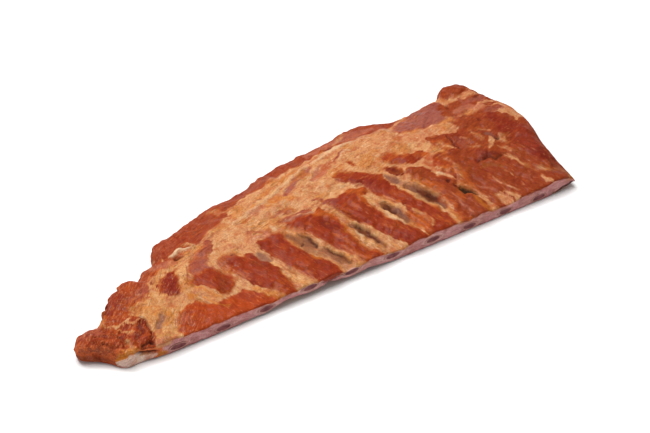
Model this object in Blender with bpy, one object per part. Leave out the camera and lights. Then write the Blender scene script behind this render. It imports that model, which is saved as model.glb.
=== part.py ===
import math

import bmesh
import bpy
import numpy as np

# Sizes in metres. +X runs along the sawn edge to the wide end, +Y to the far flap, +Z up.
SAWN_Y = -0.08015  # the straight sawn edge lies in this plane
SAWN_RIGHT_X = 0.2145  # where the sawn face ends, at the wide end
RIM_RADIUS = 0.0065  # how far the top rolls over into the sides
RIM_SHARE = 0.45  # height of the sides' widest line, as a share of the thickness
FOOT_RADIUS = 0.004  # the same roll at the underside

STATIONS = 84  # along the rack
STEPS = 18  # from the sawn edge to the far edge
WALL_STEPS = 2  # up the sawn face
USUAL_LENGTH = 0.42  # between the rack's short ends, to set how close the stations lie at a rim
USUAL_WIDTH = 0.14  # and between its long edges
ROLL_ANGLES = (0.0, 30.0, 55.0)  # degrees round a rim's quarter circle that get a row of their own
EDGE_SAMPLES = 40  # points for each turn of an edge when its length is measured
CREASE = math.radians(50)  # sharper edges than this are not shaded smooth

# Ribs, counted from the tip: where each meets the sawn face, and how far it reaches back
RIB_X = (-0.1580, -0.1197, -0.0827, -0.0437, -0.0057, 0.0323, 0.0708, 0.1068, 0.1423, 0.1768)
RIB_Z = (0.0046, 0.0043, 0.0056, 0.0088, 0.0075, 0.0065, 0.0060, 0.0042, 0.0040, 0.0040)
RIB_REACH = (0.050, 0.062, 0.070, 0.078, 0.084, 0.088, 0.090, 0.088, 0.082, 0.070)
RIB_LEAN = math.tan(math.radians(17))  # sideways towards the tip for each step back
RIB_CURL = 0.9  # further lean, in 1/m: the ribs are bowed
RIB_RISE = 0.06  # slope upwards, going back
RIB_WIDTH = 0.0145
RIB_DEPTH = 0.0052
RIB_RINGS = 6
RIB_SIDES = 10
RIB_TAPER = 0.12  # share of its width that a rib loses going back
RIB_TIP = 0.003  # length of its blunt inner end
RIB_TIP_SHARE = 0.45  # width left at that end
BONE_GAP = 0.0003  # clearance all round each bone
FACET_ALLOWANCE = 1.1  # a channel's axes grow by this much more, as its facets lie inside its oval
CHANNEL_PAST = 0.003  # how far a channel's cutter stands out of the sawn face

FURROW_DEPTH = 0.0014  # the top sinks along each rib and swells between two ribs
FURROW_WIDTH = 0.0075
FURROW_MEAN = 0.45  # share of the depth taken off everywhere, so that the swells rise as well
FURROW_REACH = 0.062  # how far back from the sawn edge the furrows run
FURROW_FADE = 1.6  # steepness of their end: full depth over the first 1 - 1/1.6 of that reach
EDGE_LIFT = 0.0005  # the sawn edge's lower corner stands this clear of the table
ARCH_HEIGHT = 0.0038  # and this much more in the middle of its arch
ARCH_X = -0.038
ARCH_HALF_LENGTH = 0.042
ARCH_REACH = 0.018

# Plan of the edges, given by their turns
TIP_END = (
    (-0.2055, -0.0715), (-0.2095, -0.0665), (-0.2175, -0.0603), (-0.2265, -0.0550),
    (-0.2284, -0.0470),
)
SLAB_EDGE = (
    (-0.2055, -0.0715), (-0.1990, -0.0768), (-0.1870, -0.0770), (-0.1765, -0.0789),
    (-0.1540, -0.0799), (-0.1330, SAWN_Y),
)
FAR_EDGE = (
    (-0.2284, -0.0470), (-0.2250, -0.0405), (-0.2140, -0.0375), (-0.2035, -0.0370),
    (-0.2000, -0.0305), (-0.1945, -0.0210), (-0.1855, -0.0095), (-0.1750, 0.0002),
    (-0.1685, 0.0028), (-0.1612, 0.0015), (-0.1575, -0.0042), (-0.1465, 0.0036),
    (-0.1365, 0.0072), (-0.1318, 0.0180), (-0.1260, 0.0260), (-0.1050, 0.0322),
    (-0.0875, 0.0385), (-0.0640, 0.0455), (-0.0320, 0.0496), (-0.0215, 0.0544),
    (-0.0030, 0.0597), (0.0250, 0.0642), (0.0600, 0.0678), (0.0780, 0.0722),
    (0.0960, 0.0738), (0.1090, 0.0666), (0.1330, 0.0632), (0.1570, 0.0674),
    (0.1765, 0.0722), (0.1840, 0.0788), (0.1935, 0.08015), (0.2018, 0.0765),
    (0.2045, 0.0690), (0.2065, 0.0600), (0.2105, 0.0520), (0.2158, 0.0420),
)
WIDE_END = (
    (SAWN_RIGHT_X, SAWN_Y), (0.2150, -0.0700), (0.2158, -0.0520), (0.2190, -0.0300),
    (0.2245, -0.0080), (0.2263, 0.0060), (0.2229, 0.0245), (0.2158, 0.0420),
)

# Thickness: rows go from the tip to the wide end, columns from the sawn edge to the far edge
THICKNESS_X = (-0.225, -0.195, -0.150, -0.100, -0.050, 0.0, 0.050, 0.100, 0.150, 0.200, 0.228)
THICKNESS = (
    (0.0140, 0.0165, 0.0175, 0.0175, 0.0165),
    (0.0140, 0.0170, 0.0175, 0.0165, 0.0140),
    (0.0122, 0.0160, 0.0175, 0.0165, 0.0120),
    (0.0112, 0.0155, 0.0190, 0.0190, 0.0120),
    (0.0118, 0.0165, 0.0205, 0.0210, 0.0125),
    (0.0108, 0.0168, 0.0215, 0.0230, 0.0130),
    (0.0108, 0.0172, 0.0225, 0.0240, 0.0140),
    (0.0114, 0.0172, 0.0225, 0.0240, 0.0145),
    (0.0114, 0.0168, 0.0215, 0.0220, 0.0145),
    (0.0130, 0.0172, 0.0205, 0.0200, 0.0150),
    (0.0130, 0.0165, 0.0185, 0.0175, 0.0140),
)


def clear_scene():
    for thing in list(bpy.data.objects):
        bpy.data.objects.remove(thing, do_unlink=True)


def new_collection(name, helper=False):
    collection = bpy.data.collections.new(name)
    collection.hide_render = helper
    bpy.context.scene.collection.children.link(collection)
    return collection


def new_material(name, colour, roughness):
    material = bpy.data.materials.new(name)
    material.use_nodes = True
    shader = material.node_tree.nodes["Principled BSDF"]
    shader.inputs["Base Color"].default_value = (*colour, 1.0)
    shader.inputs["Roughness"].default_value = roughness
    shader.inputs["Metallic"].default_value = 0.0
    material.diffuse_color = (*colour, 1.0)
    return material


def spline(keys, values, at):
    """Cubic Hermite through values at keys; each tangent is the slope between the neighbours."""
    keys = np.asarray(keys, float)
    values = np.asarray(values, float)
    slopes = np.gradient(values, keys, axis=0)
    at = np.clip(at, keys[0], keys[-1])
    left = np.clip(np.searchsorted(keys, at, side="right") - 1, 0, len(keys) - 2)
    span = keys[left + 1] - keys[left]
    t = (at - keys[left]) / span
    shape = t.shape + (1,) * (values.ndim - 1)
    t, span = t.reshape(shape), span.reshape(shape)
    return (
        (2 * t**3 - 3 * t**2 + 1) * values[left]
        + (t**3 - 2 * t**2 + t) * span * slopes[left]
        + (3 * t**2 - 2 * t**3) * values[left + 1]
        + (t**3 - t**2) * span * slopes[left + 1]
    )


def edge_points(turns, shares):
    """Points on the smooth line through the turns, at these shares of its length."""
    turns = np.array(turns)
    chords = np.concatenate([[0.0], np.cumsum(np.hypot(*np.diff(turns, axis=0).T))])
    fine = spline(chords, turns, np.linspace(0.0, chords[-1], EDGE_SAMPLES * len(turns)))
    run = np.concatenate([[0.0], np.cumsum(np.hypot(*np.diff(fine, axis=0).T))])
    return np.stack([np.interp(shares * run[-1], run, fine[:, k]) for k in (0, 1)], axis=-1)


def sawn_edge_points(shares):
    """The near edge: the slab's rounded stretch at the tip, then the straight saw cut."""
    slab = edge_points(SLAB_EDGE, np.linspace(0.0, 1.0, EDGE_SAMPLES))
    x = SLAB_EDGE[0][0] + shares * (SAWN_RIGHT_X - SLAB_EDGE[0][0])
    return np.stack([x, np.interp(x, slab[:, 0], slab[:, 1], right=SAWN_Y)], axis=-1)


def shares_with_rim(steps, rim_start, rim_end):
    """Even shares from 0 to 1, with closer ones where a rim rolls over."""
    inset = 1.0 - np.cos(np.radians(ROLL_ANGLES))
    start = inset * rim_start if rim_start else np.zeros(0)
    end = 1.0 - (inset * rim_end)[::-1] if rim_end else np.zeros(0)
    middle = np.linspace(rim_start, 1.0 - rim_end, steps - len(start) - len(end) + 1)
    return np.concatenate([start, middle, end])


def plan_of_rack(along, across):
    """Coons patch between the four edges."""
    u, v = along[:, None, None], across[None, :, None]
    near = sawn_edge_points(along)[:, None]
    far = edge_points(FAR_EDGE, along)[:, None]
    tip = edge_points(TIP_END, across)[None]
    wide = edge_points(WIDE_END, across)[None]
    corners = (
        (1 - u) * (1 - v) * near[0] + u * (1 - v) * near[-1]
        + (1 - u) * v * far[0] + u * v * far[-1]
    )
    return (1 - v) * near + v * far + (1 - u) * tip + u * wide - corners


def roll(distance, radius):
    """Quarter circle: 0 on the outline, 1 once the distance inwards reaches the radius."""
    return np.sqrt(1.0 - (1.0 - np.clip(distance / radius, 0.0, 1.0)) ** 2)


def rib_x(number, y):
    back = y - SAWN_Y
    return RIB_X[number] - RIB_LEAN * back - RIB_CURL * back**2


def furrows(x, y):
    """1 along each rib, 0 midway between two, fading out going back."""
    back = y - SAWN_Y
    line = sum(np.exp(-(((x - rib_x(n, y)) / FURROW_WIDTH) ** 2)) for n in range(len(RIB_X)))
    fade = np.clip(FURROW_FADE * (1.0 - back / FURROW_REACH), 0.0, 1.0)
    return (line - FURROW_MEAN) * fade


def heights(plan, along, across):
    """Heights of the top and of the underside over the plan."""
    x = plan[..., 0]
    y = plan[..., 1]
    columns = spline(THICKNESS_X, THICKNESS, x.mean(axis=1))
    shares = np.linspace(0.0, 1.0, len(THICKNESS[0]))
    thick = spline(shares, columns.T, across).T
    thick = thick - FURROW_DEPTH * furrows(x, y)
    width = np.hypot(*(plan[:, -1] - plan[:, 0]).T)[:, None]
    length = np.hypot(*(plan[-1] - plan[0]).T)[None]
    inwards = [
        (1.0 - across[None]) * width,
        along[:, None] * length,
        (1.0 - along[:, None]) * length,
    ]
    top_roll = np.prod([roll(d, RIM_RADIUS) for d in inwards], axis=0)
    foot_roll = np.prod([roll(d, FOOT_RADIUS) for d in inwards], axis=0)
    middle = RIM_SHARE * thick
    arch = EDGE_LIFT + ARCH_HEIGHT * np.exp(-(((x - ARCH_X) / ARCH_HALF_LENGTH) ** 2))
    arch = arch * np.exp(-(((y - SAWN_Y) / ARCH_REACH) ** 2))
    return middle + (thick - middle) * top_roll, middle + (arch - middle) * foot_roll


def quads(indices):
    """The faces of a grid of vertex numbers."""
    return np.stack(
        [indices[:-1, :-1], indices[1:, :-1], indices[1:, 1:], indices[:-1, 1:]], axis=-1
    ).reshape(-1, 4)


def closed_mesh(name, points, faces, merge=1e-6):
    mesh = bpy.data.meshes.new(name)
    mesh.from_pydata([tuple(p) for p in points], [], [tuple(f) for f in faces])
    shape = bmesh.new()
    shape.from_mesh(mesh)
    bmesh.ops.remove_doubles(shape, verts=shape.verts, dist=merge)
    bmesh.ops.recalc_face_normals(shape, faces=shape.faces)
    shape.to_mesh(mesh)
    shape.free()
    mesh.shade_smooth()
    mesh.set_sharp_from_angle(angle=CREASE)
    return mesh


def place(mesh, material, collection, cutter=False):
    thing = bpy.data.objects.new(mesh.name, mesh)
    collection.objects.link(thing)
    if cutter:
        thing.hide_render = True
        thing.display_type = "WIRE"
    else:
        mesh.materials.append(material)
    return thing


def make_meat(material, collection, cutters):
    """Top, underside and sawn face as three grids that share their edges."""
    along = shares_with_rim(STATIONS, RIM_RADIUS / USUAL_LENGTH, RIM_RADIUS / USUAL_LENGTH)
    across = shares_with_rim(STEPS, 0.0, RIM_RADIUS / USUAL_WIDTH)
    plan = plan_of_rack(along, across)
    top, foot = heights(plan, along, across)
    upper = np.concatenate([plan, top[..., None]], axis=-1)
    lower = np.concatenate([plan, foot[..., None]], axis=-1)
    rise = np.linspace(0.0, 1.0, WALL_STEPS + 1)[None, :, None]
    wall = lower[:, :1] + rise * (upper[:, :1] - lower[:, :1])
    points, faces, count = [], [], 0
    for grid, turned in ((upper, False), (lower, True), (wall, False)):
        numbers = count + np.arange(grid.shape[0] * grid.shape[1]).reshape(grid.shape[:2])
        faces.append(quads(numbers)[:, ::-1] if turned else quads(numbers))
        points.append(grid.reshape(-1, 3))
        count += numbers.size
    mesh = closed_mesh("meat", np.concatenate(points), np.concatenate(faces))
    meat = place(mesh, material, collection)
    channels = meat.modifiers.new("rib channels", "BOOLEAN")
    channels.operation = "DIFFERENCE"
    channels.solver = "EXACT"
    channels.operand_type = "COLLECTION"
    channels.collection = cutters
    return meat


def rib_mesh(name, number, swell=0.0, past=0.0):
    """An oval rod on sections parallel to the saw cut, which taper at the inner end."""
    reach = RIB_REACH[number]
    back = np.concatenate([np.linspace(0.0, reach, RIB_RINGS), [reach + RIB_TIP + swell]])
    if past:
        back = np.concatenate([[-past], back])
    taper = 1.0 - RIB_TAPER * np.clip(back / reach, 0.0, 1.0) ** 2
    taper[-1] = RIB_TIP_SHARE
    angle = np.arange(RIB_SIDES) * 2 * math.pi / RIB_SIDES
    y = SAWN_Y + back
    middle_z = RIB_Z[number] + RIB_RISE * np.maximum(back, 0.0)
    half_width = RIB_WIDTH / 2 * taper + swell * FACET_ALLOWANCE
    half_depth = RIB_DEPTH / 2 * taper + swell * FACET_ALLOWANCE
    x = rib_x(number, y)[:, None] + half_width[:, None] * np.cos(angle)
    z = middle_z[:, None] + half_depth[:, None] * np.sin(angle)
    points = np.stack([x, np.broadcast_to(y[:, None], x.shape), z], axis=-1)
    numbers = np.arange(points[..., 0].size).reshape(x.shape)
    ring = np.concatenate([numbers, numbers[:, :1]], axis=1)
    faces = [tuple(f) for f in quads(ring)] + [tuple(numbers[0]), tuple(numbers[-1][::-1])]
    return closed_mesh(name, points.reshape(-1, 3), faces)


def make_ribs(material, collection, cutters):
    for number in range(len(RIB_X)):
        name = f"rib_bone_{number + 1:02d}"
        place(rib_mesh(name, number), material, collection)
        cutter = rib_mesh(name + "_channel", number, BONE_GAP, CHANNEL_PAST)
        place(cutter, None, cutters, cutter=True)


def build_rack():
    clear_scene()
    rack = new_collection("rack_of_ribs")
    cutters = new_collection("rib_channels", helper=True)
    make_ribs(new_material("rib bone", (0.28, 0.13, 0.12), 0.55), rack, cutters)
    make_meat(new_material("smoked meat", (0.38, 0.10, 0.045), 0.42), rack, cutters)


build_rack()
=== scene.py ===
import math

import bpy
import numpy as np
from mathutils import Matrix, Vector


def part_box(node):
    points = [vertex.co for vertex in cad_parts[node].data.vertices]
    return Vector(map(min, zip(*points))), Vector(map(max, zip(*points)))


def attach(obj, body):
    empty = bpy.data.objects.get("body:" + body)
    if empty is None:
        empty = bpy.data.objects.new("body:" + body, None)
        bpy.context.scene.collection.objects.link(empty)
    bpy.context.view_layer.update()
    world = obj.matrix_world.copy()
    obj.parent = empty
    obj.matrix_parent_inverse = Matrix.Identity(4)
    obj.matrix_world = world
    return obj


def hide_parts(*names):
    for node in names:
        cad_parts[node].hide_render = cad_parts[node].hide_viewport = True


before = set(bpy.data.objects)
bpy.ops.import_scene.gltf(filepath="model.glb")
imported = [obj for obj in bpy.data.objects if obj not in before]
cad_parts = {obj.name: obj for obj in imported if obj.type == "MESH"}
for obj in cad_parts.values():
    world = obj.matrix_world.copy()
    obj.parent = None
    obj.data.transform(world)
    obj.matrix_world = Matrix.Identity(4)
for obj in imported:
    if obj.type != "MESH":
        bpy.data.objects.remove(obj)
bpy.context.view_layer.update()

mm = 0.001
meatLow, meatHigh = (np.array(corner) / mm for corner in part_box("meat"))
sawnY = meatLow[1]  # the saw cut lies in this plane; sizes below are in mm, in the frame of the CAD model


# Smooth step from 0 at low to 1 at high.
def ease(value, low, high):
    t = np.clip((value - low) / (high - low), 0.0, 1.0)
    return t * t * (3.0 - 2.0 * t)


# Cubic Hermite curve through values at keys, its tangents the slopes between the neighbours.
def through(keys, values, at):
    keys = np.asarray(keys, float)
    values = np.asarray(values, float)
    slopes = np.gradient(values, keys, axis=0)
    at = np.clip(at, keys[0], keys[-1])
    left = np.clip(np.searchsorted(keys, at, side="right") - 1, 0, len(keys) - 2)
    span = keys[left + 1] - keys[left]
    t = (at - keys[left]) / span
    shape = t.shape + (1,) * (values.ndim - 1)
    t = t.reshape(shape)
    span = span.reshape(shape)
    return (
        (2 * t**3 - 3 * t**2 + 1) * values[left]
        + (t**3 - 2 * t**2 + t) * span * slopes[left]
        + (3 * t**2 - 2 * t**3) * values[left + 1]
        + (t**3 - t**2) * span * slopes[left + 1]
    )


# Points at these shares of the length of the smooth line through the turns.
def alongLine(turns, shares, samples=40):
    turns = np.array(turns, float)
    chords = np.concatenate([[0.0], np.cumsum(np.linalg.norm(np.diff(turns, axis=0), axis=1))])
    fine = through(chords, turns, np.linspace(0.0, chords[-1], samples * len(turns)))
    run = np.concatenate([[0.0], np.cumsum(np.linalg.norm(np.diff(fine, axis=0), axis=1))])
    return np.stack([np.interp(shares * run[-1], run, column) for column in fine.T], -1)


# Soft noise of about unit size: a sum of cosine waves whose headings, lengths (near size) and phases come
# from the seed. stretch makes it longer along the angle, which is in degrees from +X.
def waves(x, y, size, seed, stretch=1.0, angle=0.0, count=36):
    random = np.random.default_rng(seed)
    turn = math.radians(angle)
    a = (x * math.cos(turn) + y * math.sin(turn)) / stretch
    b = y * math.cos(turn) - x * math.sin(turn)
    heading = random.uniform(0.0, 2.0 * math.pi, count)
    pace = 2.0 * math.pi / size * random.uniform(0.6, 1.5, count)
    phase = random.uniform(0.0, 2.0 * math.pi, count)
    total = np.zeros(np.broadcast(a, b).shape)
    for h, p, f in zip(heading, pace, phase):
        total += np.cos(p * (a * math.cos(h) + b * math.sin(h)) + f)
    return total * math.sqrt(2.0 / count)


# How far inside a closed outline each point lies, negative outside: the distance to the nearest side, with
# the sign from counting the sides that a line towards +X crosses.
def insideOutline(x, y, corners):
    corners = np.array(corners, float)
    nearest = np.full(x.shape, np.inf)
    inside = np.zeros(x.shape, bool)
    for (ax, ay), (bx, by) in zip(corners, np.roll(corners, -1, axis=0)):
        dx, dy = bx - ax, by - ay
        t = np.clip(((x - ax) * dx + (y - ay) * dy) / (dx * dx + dy * dy), 0.0, 1.0)
        nearest = np.minimum(nearest, np.hypot(x - ax - t * dx, y - ay - t * dy))
        if ay != by:
            inside ^= ((ay > y) != (by > y)) & (x < ax + (y - ay) * dx / (by - ay))
    return np.where(inside, nearest, -nearest)


# How far inside a streak each point lies: a chain of (x, y, half width) whose half width changes evenly
# from one to the next.
def insideStreak(x, y, chain):
    chain = np.array(chain, float)
    if len(chain) == 1:
        return chain[0, 2] - np.hypot(x - chain[0, 0], y - chain[0, 1])
    best = np.full(x.shape, -np.inf)
    for (ax, ay, ar), (bx, by, br) in zip(chain[:-1], chain[1:]):
        dx, dy = bx - ax, by - ay
        t = np.clip(((x - ax) * dx + (y - ay) * dy) / (dx * dx + dy * dy), 0.0, 1.0)
        best = np.maximum(best, ar + t * (br - ar) - np.hypot(x - ax - t * dx, y - ay - t * dy))
    return best


# Screen colour (0 to 255) to the share of light sent back, less what the wet sheen adds to it.
def light(colour, sheen=0.025, brightness=1.25):
    c = np.array(colour, float) / 255.0
    shown = np.where(c <= 0.04045, c / 12.92, ((c + 0.055) / 1.055) ** 2.4)
    return np.maximum(shown - sheen, 0.25 * shown) / brightness


# A mesh object from points in mm and triangles, with its attributes, one value or colour a point.
def newPiece(name, points, triangles, attributes, creaseDegrees=60.0):
    mesh = bpy.data.meshes.new(name)
    mesh.vertices.add(len(points))
    mesh.vertices.foreach_set("co", (points * mm).astype(np.float32).ravel())
    mesh.loops.add(triangles.size)
    mesh.loops.foreach_set("vertex_index", triangles.astype(np.int32).ravel())
    mesh.polygons.add(len(triangles))
    mesh.polygons.foreach_set("loop_start", np.arange(0, triangles.size, 3, dtype=np.int32))
    mesh.update(calc_edges=True)
    mesh.validate()
    mesh.shade_smooth()
    mesh.set_sharp_from_angle(angle=math.radians(creaseDegrees))
    for label, values in attributes.items():
        if values.ndim == 1:
            mesh.attributes.new(label, "FLOAT", "POINT").data.foreach_set("value", values.astype(np.float32))
        else:
            colours = np.concatenate([values, np.ones((len(values), 1))], axis=1).astype(np.float32)
            mesh.attributes.new(label, "FLOAT_COLOR", "POINT").data.foreach_set("color", colours.ravel())
    piece = bpy.data.objects.new(name, mesh)
    bpy.context.scene.collection.objects.link(piece)
    return piece


# Two triangles for every cell of a grid of vertex numbers.
def cells(numbers, turned=False):
    a, b, c, d = numbers[:-1, :-1], numbers[1:, :-1], numbers[1:, 1:], numbers[:-1, 1:]
    faces = np.concatenate([np.stack([a, b, c], -1), np.stack([a, c, d], -1)]).reshape(-1, 3)
    return faces[:, ::-1] if turned else faces


# One value of a shader's wiring. Operators on it add Math nodes.
class Wire:
    def __init__(self, sheet, socket):
        self.sheet = sheet
        self.socket = socket

    def maths(self, operation, *values):
        return self.sheet.node("ShaderNodeMath", {"operation": operation}, dict(enumerate(values)))

    def __add__(self, other):
        return self.maths("ADD", self, other)

    def __radd__(self, other):
        return self.maths("ADD", other, self)

    def __sub__(self, other):
        return self.maths("SUBTRACT", self, other)

    def __rsub__(self, other):
        return self.maths("SUBTRACT", other, self)

    def __mul__(self, other):
        return self.maths("MULTIPLY", self, other)

    def __rmul__(self, other):
        return self.maths("MULTIPLY", other, self)

    def __truediv__(self, other):
        return self.maths("DIVIDE", self, other)

    def absolute(self):
        return self.maths("ABSOLUTE", self)

    def clamped(self):
        return self.maths("MAXIMUM", self, 0.0)

    # smooth step from 0 at low to 1 at high
    def eased(self, low, high):
        settings = {"interpolation_type": "SMOOTHSTEP"}
        return self.sheet.node("ShaderNodeMapRange", settings, {"Value": self, "From Min": low, "From Max": high})


# A material whose nodes are laid by node(): its type, its settings, then its sockets' values or links.
class FinishSheet:
    def __init__(self, name):
        self.material = bpy.data.materials.new(name)
        self.material.use_nodes = True
        self.tree = self.material.node_tree
        self.shader = self.tree.nodes["Principled BSDF"]
        self.place = self.node("ShaderNodeTexCoord", {}, {}, "Object")

    def fill(self, node, sockets):
        for key, value in sockets.items():
            if isinstance(value, Wire):
                self.tree.links.new(value.socket, node.inputs[key])
            else:
                node.inputs[key].default_value = value

    def node(self, kind, settings, sockets, output=0):
        made = self.tree.nodes.new(kind)
        for key, value in settings.items():
            setattr(made, key, value)
        self.fill(made, sockets)
        return Wire(self, made.outputs[output])

    def finish(self, sockets):
        self.fill(self.shader, sockets)
        return self.material

    def attribute(self, label, output="Fac"):
        return self.node("ShaderNodeAttribute", {"attribute_name": label}, {}, output)

    def apart(self, vector, axis):
        return self.node("ShaderNodeSeparateXYZ", {}, {0: vector}, axis)

    def vector(self, x, y, z):
        return self.node("ShaderNodeCombineXYZ", {}, {0: x, 1: y, 2: z})

    # the pattern's grain size in mm
    def noise(self, place, size, detail=3.0, roughness=0.5, distortion=0.0):
        sockets = {
            "Vector": place, "Scale": 1.0 / (size * mm), "Detail": detail,
            "Roughness": roughness, "Distortion": distortion,
        }
        return self.node("ShaderNodeTexNoise", {}, sockets)

    # object coordinates turned by degrees and drawn out along that direction
    def drawnOut(self, degrees, stretch):
        sockets = {
            "Vector": self.place, "Rotation": (0.0, 0.0, -math.radians(degrees)),
        }
        turned = self.node("ShaderNodeMapping", {"vector_type": "POINT"}, sockets)
        return self.node("ShaderNodeMapping", {"vector_type": "POINT"}, {"Vector": turned, "Scale": (1.0 / stretch, 1.0, 1.0)})

    def mix(self, share, first, second, blend="MIX"):
        settings = {"data_type": "RGBA", "blend_type": blend}
        return self.node("ShaderNodeMix", settings, {0: share, 6: first, 7: second}, 2)

    def dimmed(self, colour, by):
        return self.node("ShaderNodeVectorMath", {"operation": "SCALE"}, {"Vector": colour, "Scale": by})

    def bump(self, height, distance, strength=1.0):
        sockets = {"Height": height, "Distance": distance * mm, "Strength": strength}
        return self.node("ShaderNodeBump", {}, sockets)


def opaque(colour):
    return (*light(colour), 1.0)


print("rack: tools ready")
# Colours of the rack's parts, as the screen shows them.
# Some tones stand for light and shade: the darkest ones are painted shade in slits, cracks, gaps and hollows, the deep
# meat tone is also painted shade in creases, and the tip's side tone is lightened as painted light on its shaded faces.
tones = {
    "meat": (160, 68, 38), "meatDark": (144, 58, 36), "deepMeatAndShade": (104, 38, 22), "meatRight": (158, 74, 48), "meatShade": (124, 46, 20),
    "flap": (162, 76, 54), "tip": (172, 78, 46), "tipSideLit": (222, 114, 74), "rose": (172, 94, 74), "mauve": (168, 98, 84),
    "glaze": (182, 80, 40), "glazeBright": (196, 98, 50), "rust": (140, 66, 34),
    "fat": (214, 152, 104), "fatPink": (200, 124, 98), "fatBright": (226, 170, 116), "cream": (234, 200, 162),
    "fatLeft": (206, 142, 88), "fatRight": (210, 140, 98), "tan": (206, 144, 98), "fatOrange": (208, 126, 58),
    "fatRed": (186, 98, 66), "olive": (164, 104, 54), "oliveDark": (84, 54, 26), "grey": (156, 104, 82),
    "greyMauve": (138, 94, 82), "hollow": (84, 44, 28), "slitShadow": (52, 24, 15), "slab": (240, 208, 190),
    "taupe": (142, 92, 70), "taupeDark": (100, 56, 40), "taupePale": (184, 126, 96), "greyFat": (158, 110, 92),
    "shadowBlack": (22, 12, 10),
    "cut": (218, 152, 152), "cutPale": (238, 192, 182), "cutBrown": (174, 112, 112),
}

rackShape = {
    "stations": 400,  # rows along the rack
    "steps": 138,  # rows across its top; the underside takes every second one
    "wallSteps": 12,  # rows up the sawn face
    "sawnRight": 214.5,
    "rimRadius": {"far": 8.0, "tip": 7.0, "wide": 13.0},
    "footRadius": 3.0,
    "rimShare": 0.36,  # height of the widest line round the far side and the ends
    "sawnCorner": 1.8,  # rounding over the sawn face
    "sawnRecess": 0.3,  # the rib ends stand this proud of the meat
    "ragged": 0.3,  # unevenness of the far edge
    "tipEnd": [(-205.5, -71.5), (-209.5, -66.5), (-217.5, -60.3), (-226.5, -55.0), (-228.4, -47.0)],
    "slabEdge": [
        (-205.5, -71.5), (-199.0, -76.8), (-187.0, -77.0), (-176.5, -78.9), (-154.0, -79.9),
        (-133.0, sawnY),
    ],
    "farEdge": [
        (-228.4, -47.0), (-224.5, -40.5), (-214.0, -36.5), (-203.5, -36.5), (-198.0, -31.5),
        (-191.5, -23.0), (-182.0, -12.0), (-172.5, -3.2), (-167.0, 1.2), (-160.8, 0.8), (-157.5, -4.2),
        (-146.5, 3.6), (-136.5, 7.2), (-131.8, 18.0), (-126.0, 26.0), (-105.0, 32.2), (-87.5, 38.5),
        (-64.0, 45.5), (-32.0, 49.6), (-21.5, 54.4), (-3.0, 59.7), (25.0, 64.2), (60.0, 67.8),
        (78.0, 72.2), (96.0, 73.8), (109.0, 66.6), (133.0, 63.2), (157.0, 67.0), (177.0, 70.6),
        (179.5, 72.6), (184.5, 79.2), (193.5, 80.15), (201.8, 76.5), (204.5, 69.0), (206.5, 60.0), (210.5, 52.0),
        (215.8, 42.0),
    ],
    "wideEnd": [
        (214.5, sawnY), (215.0, -70.0), (215.8, -52.0), (219.0, -30.0), (224.5, -8.0), (226.3, 6.0),
        (222.9, 24.5), (215.8, 42.0),
    ],
    # thickness: rows from the tip to the wide end, columns from the sawn edge to the far edge
    "thicknessAt": [-225, -195, -150, -100, -50, 0, 50, 100, 150, 200, 228],
    "thickness": [
        (14.0, 16.5, 17.5, 17.5, 16.5),
        (14.0, 17.0, 17.5, 16.5, 14.0),
        (12.2, 16.0, 17.5, 16.5, 12.0),
        (11.2, 15.5, 19.0, 19.0, 12.0),
        (11.8, 16.5, 20.5, 21.0, 12.5),
        (10.8, 16.8, 21.5, 23.0, 13.0),
        (10.8, 17.2, 22.5, 24.0, 14.0),
        (11.4, 17.2, 22.5, 24.0, 14.5),
        (11.4, 16.8, 21.5, 22.0, 14.5),
        (13.0, 17.2, 20.5, 20.0, 15.0),
        (13.0, 16.5, 18.5, 17.5, 14.0),
    ],
    # how far the lower edge of the sawn face stands off the table, along x
    "liftAt": [-205, -130, -104, -84, -64, -44, -24, -4, 16, 36, 56, 190, 204, 214],
    "lift": [0.2, 0.3, 0.9, 2.0, 4.6, 4.5, 4.6, 3.4, 2.6, 0.8, 0.3, 0.3, 2.0, 5.5],
    "liftReach": 22.0,  # and how far back the underside is hollow there
    "scallop": 1.6,  # extra lift between two ribs
}

# Tones that keep their own colour, with little of the browning and streaking that the rest gets.
stillTones = ("taupe", "taupeDark", "taupePale", "hollow", "slitShadow", "shadowBlack", "greyMauve", "greyFat", "olive", "cream", "slab")

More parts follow.
